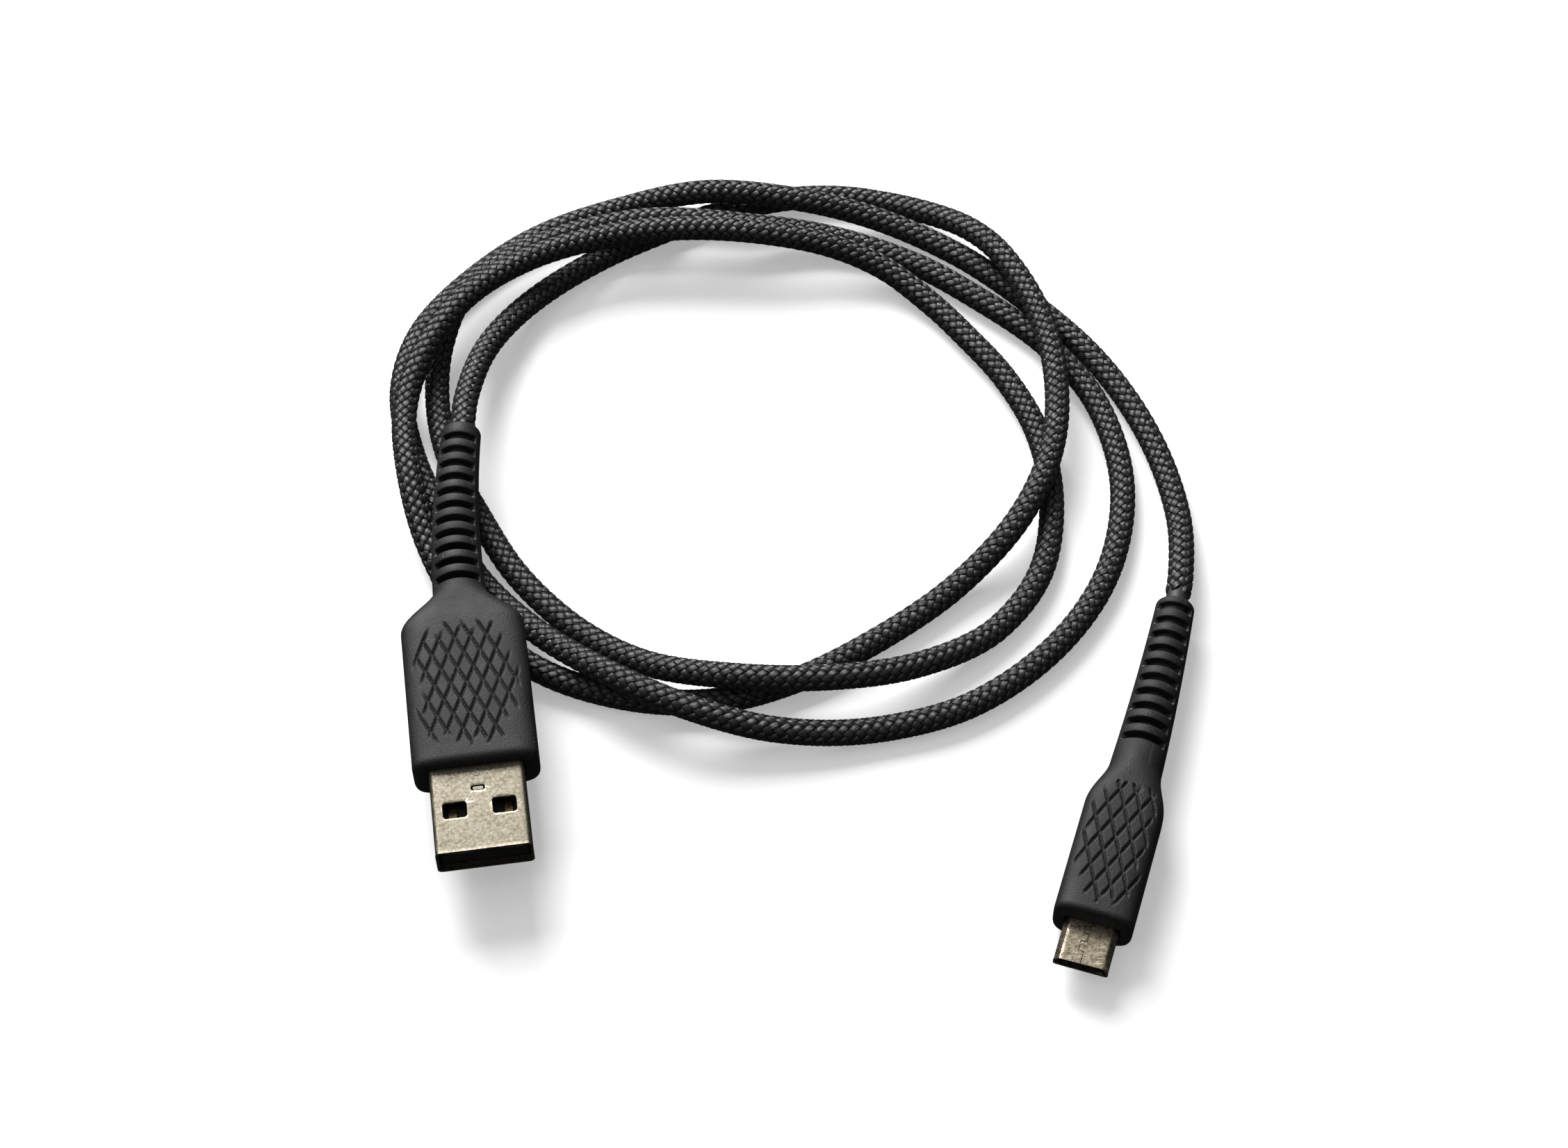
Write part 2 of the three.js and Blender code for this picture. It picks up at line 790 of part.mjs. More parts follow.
function makeCord() {
  const route = new RestingRoute(routePoints.map(([x, y, z]) => new THREE.Vector3(x, y, z)));
  const group = new THREE.Group();
  addMesh(group, 'cord', new THREE.ExtrudeGeometry(new THREE.Shape(circle(cordDiameter / 2, cordSides)), {
    steps: cordSteps,
    extrudePath: route,
    bevelEnabled: false,
  }), 'braid');
  return group;
}

const lead = new THREE.Group();
lead.add(makeLargePlug(), makeSmallPlug(), makeCord());

export default lead;
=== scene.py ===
import json
import math

import bmesh
import bpy
from mathutils import Matrix, Vector

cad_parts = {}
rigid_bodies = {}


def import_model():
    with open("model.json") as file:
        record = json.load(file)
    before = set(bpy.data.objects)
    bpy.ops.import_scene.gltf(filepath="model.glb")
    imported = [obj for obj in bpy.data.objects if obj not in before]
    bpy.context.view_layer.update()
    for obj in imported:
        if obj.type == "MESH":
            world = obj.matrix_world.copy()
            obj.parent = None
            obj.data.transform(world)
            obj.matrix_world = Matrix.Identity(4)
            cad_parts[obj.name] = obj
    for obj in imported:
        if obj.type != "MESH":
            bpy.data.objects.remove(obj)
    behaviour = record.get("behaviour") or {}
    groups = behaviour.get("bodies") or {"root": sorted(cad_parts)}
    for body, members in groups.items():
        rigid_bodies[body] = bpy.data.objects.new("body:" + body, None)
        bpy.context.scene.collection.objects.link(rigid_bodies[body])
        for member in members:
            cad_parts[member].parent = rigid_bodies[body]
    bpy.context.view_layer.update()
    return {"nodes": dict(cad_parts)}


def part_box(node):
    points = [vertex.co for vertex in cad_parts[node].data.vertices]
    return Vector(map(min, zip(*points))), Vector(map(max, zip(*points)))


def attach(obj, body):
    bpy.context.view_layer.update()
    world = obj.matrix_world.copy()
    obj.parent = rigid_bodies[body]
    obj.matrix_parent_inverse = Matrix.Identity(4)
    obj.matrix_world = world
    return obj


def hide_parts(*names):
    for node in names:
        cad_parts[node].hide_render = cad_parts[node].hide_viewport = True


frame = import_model()
mm = 0.001
sceneObjects = bpy.context.scene.collection.objects


# Camera, in front of the coils and looking down at them

cameraSetup = {"place": (-33.4, -203.7, 324.2), "lookDown": 55.0, "turn": -8.2, "lens": 67.3}


def makeCamera(setup):
    data = bpy.data.cameras.new("camera")
    data.lens = setup["lens"]
    data.sensor_width = 36
    data.clip_start = 0.01
    camera = bpy.data.objects.new("camera", data)
    camera.location = Vector(setup["place"]) * mm
    camera.rotation_euler = (math.radians(90 - setup["lookDown"]), 0, math.radians(setup["turn"]))
    sceneObjects.link(camera)
    bpy.context.scene.camera = camera


makeCamera(cameraSetup)


# Mesh helpers

def addPiece(name, mesh, material=None):
    piece = bpy.data.objects.new(name, mesh)
    sceneObjects.link(piece)
    if material:
        mesh.materials.clear()
        mesh.materials.append(material)
    return piece


def smoothByAngle(mesh, degrees):
    mesh.shade_smooth()
    mesh.set_sharp_from_angle(angle=math.radians(degrees))


def outwardMesh(name, points, faces):
    mesh = bpy.data.meshes.new(name)
    mesh.from_pydata(points, [], faces)
    bm = bmesh.new()
    bm.from_mesh(mesh)
    if bm.calc_volume(signed=True) < 0:
        bmesh.ops.reverse_faces(bm, faces=bm.faces)
    bm.to_mesh(mesh)
    bm.free()
    return mesh


def bakedMesh(piece, name):  # the evaluated piece as a plain mesh
    graph = bpy.context.evaluated_depsgraph_get()
    mesh = bpy.data.meshes.new_from_object(piece.evaluated_get(graph))
    mesh.name = name
    bpy.data.objects.remove(piece)
    return mesh


def spread(low, high, count):
    return [low + (high - low) * i / count for i in range(count + 1)]


def smoothStep(value, low, high):
    t = min(max((value - low) / (high - low), 0), 1)
    return t * t * (3 - 2 * t)


# The cord's middle line, in millimetres: the same points as the modelled tube

cordSize = {"diameter": 3.5, "restHeight": 1.8, "intoBoot": 2.0, "samplesPerSpan": 12}

routePoints = [
    # away from the large plug's boot and down to the surface
    (-41.85, 45.65, 7.9),
    (-40.8, 51.8, 7.2),
    (-37.4, 61.6, 5.2),
    (-31.4, 70.0, 3.2),
    (-22.8, 77.0, 1.9),
    (-12.2, 81.9, 1.8),
    (0.0, 85.4, 1.8),
    (11.7, 86.4, 1.8),
    (22.0, 84.0, 1.8),
    (30.2, 78.6, 3.3),
    (34.2, 74.0, 4.7),
    (37.2, 68.6, 5.5),
    (40.4, 58.0, 5.5),
    (40.8, 46.0, 5.5),
    (37.8, 33.0, 5.5),
    (31.2, 22.3, 4.7),
    (21.5, 14.4, 2.2),
    (9.8, 7.6, 1.8),
    (-1.8, 2.8, 1.8),
    (-12.8, 1.0, 1.8),
    (-24.4, 3.2, 1.8),
    (-35.6, 9.4, 1.8),
    (-43.8, 19.6, 1.8),
    # second turn, lying on top along the left side
    (-48.0, 30.5, 2.9),
    (-49.7, 41.8, 5.3),
    (-49.3, 52.9, 5.6),
    (-45.8, 61.4, 6.9),
    (-39.4, 69.2, 7.9),
    (-30.0, 75.4, 7.4),
    (-18.6, 78.4, 7.0),
    (-7.2, 77.8, 7.6),
    (4.0, 75.6, 7.3),
    (13.6, 73.4, 5.3),
    (20.6, 70.0, 3.2),
    (26.0, 64.2, 1.9),
    (30.4, 56.8, 1.8),
    (34.4, 48.6, 1.8),
    (37.0, 38.8, 1.8),
    (36.8, 27.0, 1.8),
    (32.8, 14.8, 1.8),
    (25.0, 6.6, 1.8),
    (14.0, 1.8, 3.4),
    (2.4, 0.2, 5.4),
    (-10.0, 2.0, 5.6),
    (-21.4, 7.4, 3.1),
    (-30.0, 15.2, 1.8),
    (-36.6, 24.6, 1.8),
    (-40.8, 34.8, 1.8),
    # third turn, under the second on the left and leaning on it at the back
    (-44.2, 45.6, 1.8),
    (-45.0, 56.0, 2.0),
    (-43.5, 64.8, 3.5),
    (-39.4, 72.6, 5.2),
    (-31.2, 78.6, 5.0),
    (-21.0, 81.9, 4.9),
    (-10.6, 81.8, 5.7),
    (1.6, 79.4, 5.2),
    (13.0, 77.6, 3.0),
    (24.2, 72.2, 1.8),
    (33.5, 63.4, 1.8),
    (41.4, 53.6, 1.8),
    (46.2, 42.6, 1.8),
    (46.9, 28.2, 1.8),
    (42.0, 14.0, 1.8),
    (32.6, 3.0, 1.8),
    (19.8, -4.4, 1.8),
    (6.4, -6.4, 1.9),
    (-6.0, -5.4, 3.4),
    (-17.0, -1.6, 5.5),
    (-26.4, 5.0, 5.5),
    (-35.0, 14.4, 3.1),
    (-41.8, 24.8, 1.8),
    # fourth turn, outermost, ending at the small plug's boot
    (-46.2, 36.4, 1.8),
    (-49.2, 47.6, 1.8),
    (-49.8, 58.6, 1.8),
    (-46.4, 68.6, 1.8),
    (-38.2, 77.6, 1.8),
    (-27.4, 84.6, 1.8),
    (-15.6, 87.4, 2.6),
    (-3.4, 86.4, 5.4),
    (8.6, 83.4, 5.5),
    (20.0, 80.4, 3.0),
    (30.4, 73.6, 1.8),
    (40.2, 62.2, 1.8),
    (47.8, 49.8, 1.8),
    (52.3, 35.6, 1.8),
    (53.2, 21.6, 2.2),
    (51.0, 10.8, 3.7),
    (49.35, 6.15, 3.8),
]


def catmullRom(points, perSpan):
    pts = [Vector(p) for p in points]
    pts = [2 * pts[0] - pts[1]] + pts + [2 * pts[-1] - pts[-2]]
    line = []
    for i in range(1, len(pts) - 2):
        p0, p1, p2, p3 = pts[i - 1:i + 3]
        d0, d1, d2 = ((b - a).length ** 0.5 for a, b in ((p0, p1), (p1, p2), (p2, p3)))
        m1 = ((p1 - p0) / d0 - (p2 - p0) / (d0 + d1) + (p2 - p1) / d1) * d1
        m2 = ((p2 - p1) / d1 - (p3 - p1) / (d1 + d2) + (p3 - p2) / d2) * d1
        for k in range(perSpan):
            t = k / perSpan
            line.append(
                p1 * (2 * t ** 3 - 3 * t ** 2 + 1) + m1 * (t ** 3 - 2 * t ** 2 + t)
                + p2 * (3 * t ** 2 - 2 * t ** 3) + m2 * (t ** 3 - t ** 2)
            )
    return line + [pts[-2]]


def cordLine(size):
    line = catmullRom(routePoints, size["samplesPerSpan"])
    for p in line:
        p.z = max(p.z, size["restHeight"])
    lead = (line[0] - line[1]).normalized() * size["intoBoot"]
    tail = (line[-1] - line[-2]).normalized() * size["intoBoot"]
    return [p * mm for p in [line[0] + lead] + line + [line[-1] + tail]]


cordPath = cordLine(cordSize)
cordLength = sum((b - a).length for a, b in zip(cordPath, cordPath[1:]))
print(f"cord route: {cordLength:.3f} m")


def pathCurve(name, points):
    data = bpy.data.curves.new(name, "CURVE")
    data.dimensions = "3D"
    spline = data.splines.new("POLY")
    spline.points.add(len(points) - 1)
    for target, p in zip(spline.points, points):
        target.co = (*p, 1)
    return bpy.data.objects.new(name, data)


# Shader groups that several finishes share

def addInputs(tree, inputs):
    for label, kind, value in inputs:
        socket = tree.interface.new_socket(label, in_out="INPUT", socket_type="NodeSocket" + kind)
        if value is not None:
            socket.default_value = value


def newShaderGroup(name, inputs, outputs):
    group = bpy.data.node_groups.new(name, "ShaderNodeTree")
    addInputs(group, inputs)
    for label in outputs:
        group.interface.new_socket(label, in_out="OUTPUT", socket_type="NodeSocketFloat")
    return group, group.nodes.new("NodeGroupInput"), group.nodes.new("NodeGroupOutput")


def addNode(tree, kind, inputs=None, **settings):
    node = tree.nodes.new(kind)
    for key, value in settings.items():
        setattr(node, key, value)
    for key, value in (inputs or {}).items():
        if isinstance(value, bpy.types.NodeSocket):
            tree.links.new(value, node.inputs[key])
        else:
            node.inputs[key].default_value = value
    return node


def addStep(tree, kind, inputs=None, **settings):  # a node of which only the first output is used
    return addNode(tree, kind, inputs, **settings).outputs[0]


def addMath(tree, operation, first, second=0.0):
    return addStep(tree, "ShaderNodeMath", {0: first, 1: second}, operation=operation)


def addProduct(tree, *values):
    result = values[0]
    for value in values[1:]:
        result = addMath(tree, "MULTIPLY", result, value)
    return result


def addRange(tree, value, low, high, toLow=0.0, toHigh=1.0):
    inputs = {"Value": value, "From Min": low, "From Max": high, "To Min": toLow, "To Max": toHigh}
    return addNode(tree, "ShaderNodeMapRange", inputs).outputs["Result"]


def addMix(tree, factor, first, second):
    colours = [value if isinstance(value, bpy.types.NodeSocket) else (*value, 1) for value in (first, second)]
    inputs = {0: factor, 6: colours[0], 7: colours[1]}
    return addNode(tree, "ShaderNodeMix", inputs, data_type="RGBA").outputs[2]


def makeGrainGroup():  # fine bumps with a slow change of tone under them
    group, given, result = newShaderGroup(
        "surfaceGrain",
        [("Vector", "Vector", None), ("Grain Scale", "Float", 4000.0),
         ("Patch Scale", "Float", 160.0)],
        ["Height", "Patches"],
    )
    vector = given.outputs["Vector"]
    fine = addNode(group, "ShaderNodeTexNoise", {
        "Vector": vector, "Scale": given.outputs["Grain Scale"], "Detail": 3.0, "Roughness": 0.6,
    })
    patches = addNode(group, "ShaderNodeTexNoise", {
        "Vector": vector, "Scale": given.outputs["Patch Scale"], "Detail": 4.0, "Roughness": 0.55,
    })
    group.links.new(addRange(group, fine.outputs["Fac"], 0.3, 0.7), result.inputs["Height"])
    group.links.new(addRange(group, patches.outputs["Fac"], 0.3, 0.7), result.inputs["Patches"])
    return group


def makeSpeckGroup():  # sparse dust specks
    group, given, result = newShaderGroup(
        "dustSpecks",
        [("Vector", "Vector", None), ("Scale", "Float", 700.0),
         ("Size", "Float", 0.07), ("Share", "Float", 0.25)],
        ["Mask"],
    )
    cells = addNode(group, "ShaderNodeTexVoronoi",
                    {"Vector": given.outputs["Vector"], "Scale": given.outputs["Scale"]})
    near = addMath(group, "LESS_THAN", cells.outputs["Distance"], given.outputs["Size"])
    parted = addNode(group, "ShaderNodeSeparateColor", {"Color": cells.outputs["Color"]})
    chosen = addMath(group, "LESS_THAN", parted.outputs[0], given.outputs["Share"])
    group.links.new(addMath(group, "MULTIPLY", near, chosen), result.inputs["Mask"])
    return group


# Mask of the outer edges: used for rubbed edges and for a painted highlight along them.
def makeEdgeWearAndHighlightGroup():  # 1 on outer edges, 0 on flats and in hollows
    group, given, result = newShaderGroup(
        "edgeWearAndHighlight",
        [("Low", "Float", 0.51), ("High", "Float", 0.57)],
        ["Mask"],
    )
    geometry = group.nodes.new("ShaderNodeNewGeometry")
    mask = addRange(group, geometry.outputs["Pointiness"], given.outputs["Low"], given.outputs["High"])
    group.links.new(mask, result.inputs["Mask"])
    return group


grainGroup = makeGrainGroup()
speckGroup = makeSpeckGroup()
edgeWearAndHighlightGroup = makeEdgeWearAndHighlightGroup()


def useGroup(tree, group, inputs):
    return addNode(tree, "ShaderNodeGroup", inputs, node_tree=group)


def newMaterial(name):
    material = bpy.data.materials.new(name)
    material.use_nodes = True
    tree = material.node_tree
    shader = tree.nodes["Principled BSDF"]
    where = tree.nodes.new("ShaderNodeTexCoord").outputs["Object"]
    return material, tree, shader, where


def addBump(tree, shader, height, strength, distance):
    bump = addNode(tree, "ShaderNodeBump", {"Height": height, "Strength": strength, "Distance": distance})
    tree.links.new(bump.outputs["Normal"], shader.inputs["Normal"])


# Finishes

mouldingLook = {
    "dark": (0.006, 0.006, 0.0061),
    "light": (0.0205, 0.0205, 0.0209),
    # edge is the colour of rubbed edges, and also a painted highlight on the rounded edges
    "edge": (0.036, 0.036, 0.0365),
    "speck": (0.2, 0.2, 0.2),
    "roughness": (0.5, 0.66),
    "specular": 0.25,
    "grainScale": 4400.0,
    "patchScale": 210.0,
    "grainDepth": 0.03 * mm,
    "grainShare": 0.55,  # of the tone; the slow patches have the rest
    "edgeWearAndHighlightShare": 0.6,
    "speckShare": 0.8,
    "wearAndHighlight": {"Low": 0.515, "High": 0.6},
    "specks": {"Scale": 650.0, "Size": 0.06, "Share": 0.16},
}


def makeMouldingMaterial(look):
    material, tree, shader, where = newMaterial("blackMoulding")
    grain = useGroup(tree, grainGroup,
                     {"Vector": where, "Grain Scale": look["grainScale"], "Patch Scale": look["patchScale"]})
    wearAndHighlight = useGroup(tree, edgeWearAndHighlightGroup, look["wearAndHighlight"])
    specks = useGroup(tree, speckGroup, {"Vector": where, **look["specks"]})
    slow = addMath(tree, "MULTIPLY", grain.outputs["Patches"], 1 - look["grainShare"])
    tone = addMath(tree, "MULTIPLY_ADD", grain.outputs["Height"], look["grainShare"])
    tree.links.new(slow, tone.node.inputs[2])
    colour = addMix(tree, tone, look["dark"], look["light"])
    # Edges lighter: partly rubbed edges, partly a painted highlight where the rounded edges catch the light.
    wornAndHighlighted = addMath(tree, "MULTIPLY", wearAndHighlight.outputs["Mask"], look["edgeWearAndHighlightShare"])
    colour = addMix(tree, wornAndHighlighted, colour, look["edge"])
    dusty = addMath(tree, "MULTIPLY", specks.outputs["Mask"], look["speckShare"])
    colour = addMix(tree, dusty, colour, look["speck"])
    tree.links.new(colour, shader.inputs["Base Color"])
    rough = addRange(tree, grain.outputs["Patches"], 0, 1, *look["roughness"])
    tree.links.new(rough, shader.inputs["Roughness"])
    shader.inputs["Specular IOR Level"].default_value = look["specular"]
    addBump(tree, shader, grain.outputs["Height"], 1.0, look["grainDepth"])
    return material


yarnLook = {
    "dark": (0.0025, 0.0025, 0.0026),
    "light": (0.02, 0.02, 0.0205),
    "roughness": (0.27, 0.38),
    "specular": 0.55,
    "fibresAcross": 12.0,    # per millimetre
    "fibresAlong": 0.26,
    "fibreDepth": 0.04 * mm,
    "darkestPick": 0.55,
    "darkestPatch": 0.75,
    "sheen": 0.02,
}


def makeYarnMaterial(look):
    material, tree, shader, where = newMaterial("braidedYarn")
    yarn = addNode(tree, "ShaderNodeAttribute", attribute_name="yarnPlace")
    parts = addNode(tree, "ShaderNodeSeparateXYZ", {"Vector": yarn.outputs["Vector"]})
    pick = addNode(tree, "ShaderNodeAttribute", attribute_name="pickNumber")
    stretched = addNode(tree, "ShaderNodeCombineXYZ", {
        "X": addMath(tree, "MULTIPLY", parts.outputs["X"], look["fibresAlong"] / mm),
        "Y": addMath(tree, "MULTIPLY", parts.outputs["Y"], look["fibresAcross"] / mm),
        "Z": addMath(tree, "MULTIPLY", pick.outputs["Fac"], 37.0),  # far apart, so that no two picks match
    })
    fibres = addNode(tree, "ShaderNodeTexNoise",
                     {"Vector": stretched.outputs["Vector"], "Scale": 1.0, "Detail": 2.0, "Roughness": 0.7})
    streak = addRange(tree, fibres.outputs["Fac"], 0.32, 0.68)
    each = addRange(tree, pick.outputs["Fac"], 0, 1, look["darkestPick"], 1.0)
    grain = useGroup(tree, grainGroup, {"Vector": where, "Grain Scale": 3000.0, "Patch Scale": 90.0})
    patch = addRange(tree, grain.outputs["Patches"], 0, 1, look["darkestPatch"], 1.0)
    tone = addProduct(tree, streak, each, patch)
    tree.links.new(addMix(tree, tone, look["dark"], look["light"]), shader.inputs["Base Color"])
    shiny, dull = look["roughness"]
    tree.links.new(addRange(tree, streak, 0, 1, dull, shiny), shader.inputs["Roughness"])
    shader.inputs["Specular IOR Level"].default_value = look["specular"]
    shader.inputs["Sheen Weight"].default_value = look["sheen"]
    shader.inputs["Sheen Roughness"].default_value = 0.4
    addBump(tree, shader, streak, 0.9, look["fibreDepth"])
    return material


# In each metal look, edge is the colour of scratches and worn edges, and also of a painted highlight along
# the edges.
metalLooks = {
    "champagneShell": {
        "dark": (0.078, 0.068, 0.05), "light": (0.165, 0.15, 0.118), "edge": (0.42, 0.385, 0.315),
        "roughness": (0.36, 0.52), "grainScale": 4200.0, "patchScale": 2300.0, "grainDepth": 0.012 * mm,
        "scratches": 0.12,
    },
    "bronzeShell": {
        "dark": (0.1, 0.084, 0.058), "light": (0.36, 0.31, 0.235), "edge": (0.7, 0.63, 0.5),
        "roughness": (0.3, 0.46), "grainScale": 4200.0, "patchScale": 1500.0, "grainDepth": 0.01 * mm,
        "scratches": 0.5,
    },
    "goldContact": {
        "dark": (0.3, 0.2, 0.07), "light": (0.5, 0.36, 0.15), "edge": (0.8, 0.64, 0.36),
        "roughness": (0.2, 0.32), "grainScale": 3000.0, "patchScale": 900.0, "grainDepth": 0.004 * mm,
        "scratches": 0.2,
    },
    "springSteel": {
        "dark": (0.42, 0.42, 0.42), "light": (0.72, 0.72, 0.71), "edge": (0.9, 0.9, 0.9),
        "roughness": (0.2, 0.34), "grainScale": 3000.0, "patchScale": 900.0, "grainDepth": 0.004 * mm,
        "scratches": 0.2,
    },
}


def makeMetalMaterial(name, look):
    material, tree, shader, where = newMaterial(name)
    grain = useGroup(tree, grainGroup,
                     {"Vector": where, "Grain Scale": look["grainScale"], "Patch Scale": look["patchScale"]})
    wearAndHighlight = useGroup(tree, edgeWearAndHighlightGroup, {"Low": 0.51, "High": 0.56})
    turned = addNode(tree, "ShaderNodeMapping",
                     {"Vector": where, "Rotation": (0, 0, 0.7), "Scale": (700, 9000, 700)})
    strokes = addNode(tree, "ShaderNodeTexNoise",
                      {"Vector": turned.outputs["Vector"], "Scale": 1.0, "Detail": 2.0})
    scratch = addMath(tree, "MULTIPLY", addRange(tree, strokes.outputs["Fac"], 0.62, 0.7), look["scratches"])
    colour = addMix(tree, grain.outputs["Patches"], look["dark"], look["light"])
    colour = addMix(tree, scratch, colour, look["edge"])
    # Edges lighter: partly worn edges, partly a painted highlight along them.
    colour = addMix(tree, wearAndHighlight.outputs["Mask"], colour, look["edge"])
    tree.links.new(colour, shader.inputs["Base Color"])
    rough = addRange(tree, grain.outputs["Height"], 0, 1, *look["roughness"])
    tree.links.new(rough, shader.inputs["Roughness"])
    shader.inputs["Metallic"].default_value = 1.0
    height = addMath(tree, "SUBTRACT", grain.outputs["Height"], scratch)
    addBump(tree, shader, height, 0.5, look["grainDepth"])
    return material


plasticLooks = {  # darkest colour, lightest colour, least and most roughness
    "blackTongue": ((0.005, 0.005, 0.0052), (0.012, 0.012, 0.0124), (0.4, 0.55)),
    "flashEdge": ((0.05, 0.05, 0.05), (0.2, 0.2, 0.2), (0.3, 0.45)),
    "innerMoulding": ((0.42, 0.4, 0.35), (0.6, 0.58, 0.53), (0.4, 0.6)),
    "innerSleeve": ((0.008, 0.008, 0.009), (0.02, 0.02, 0.021), (0.5, 0.7)),
    "redWire": ((0.35, 0.015, 0.01), (0.5, 0.03, 0.02), (0.3, 0.4)),
    "whiteWire": ((0.7, 0.69, 0.65), (0.84, 0.83, 0.8), (0.3, 0.4)),
    "greenWire": ((0.015, 0.16, 0.035), (0.03, 0.25, 0.06), (0.3, 0.4)),
    "blackWire": ((0.01, 0.01, 0.011), (0.02, 0.02, 0.02), (0.3, 0.4)),
}


def makePlasticMaterial(name, dark, light, roughness):
    material, tree, shader, where = newMaterial(name)
    grain = useGroup(tree, grainGroup, {"Vector": where, "Grain Scale": 4200.0, "Patch Scale": 300.0})
    colour = addMix(tree, grain.outputs["Patches"], dark, light)
    tree.links.new(colour, shader.inputs["Base Color"])
    rough = addRange(tree, grain.outputs["Height"], 0, 1, *roughness)
    tree.links.new(rough, shader.inputs["Roughness"])
    addBump(tree, shader, grain.outputs["Height"], 0.3, 0.01 * mm)
    return material


mouldingMaterial = makeMouldingMaterial(mouldingLook)
yarnMaterial = makeYarnMaterial(yarnLook)
metals = {name: makeMetalMaterial(name, look) for name, look in metalLooks.items()}
plastics = {name: makePlasticMaterial(name, *look) for name, look in plasticLooks.items()}
print("finishes made")


# Cord: a smooth core, and over it the braid, made of short picks that lean one way and the other

braidSize = {
    "columns": 12,         # rows of picks side by side round the cord
    "pickStep": 1.49 * mm,
    "surface": 1.6 * mm,   # radius at the middle of a yarn's thickness
    "lean": 38.0,          # degrees between a pick and the cord's line
    "pickLength": 1.85 * mm,
    "pickWidth": 0.9 * mm,
    "pickThickness": 0.33 * mm,
    "tuck": 0.3 * mm,      # how far a pick's ends dive under the next column
    "pieces": 4,
    "coreRadius": 1.5 * mm,
}


def newGeometryTree(name, inputs):
    tree = bpy.data.node_groups.new(name, "GeometryNodeTree")
    tree.interface.new_socket("Geometry", in_out="INPUT", socket_type="NodeSocketGeometry")
    addInputs(tree, inputs)
    tree.interface.new_socket("Geometry", in_out="OUTPUT", socket_type="NodeSocketGeometry")
    return tree, tree.nodes.new("NodeGroupInput").outputs, tree.nodes.new("NodeGroupOutput")


def addVectorMath(tree, operation, first, second):
    key = "Scale" if operation == "SCALE" else 1
    return addStep(tree, "ShaderNodeVectorMath", {0: first, key: second}, operation=operation)


def addPosition(tree):
    return addStep(tree, "GeometryNodeInputPosition")


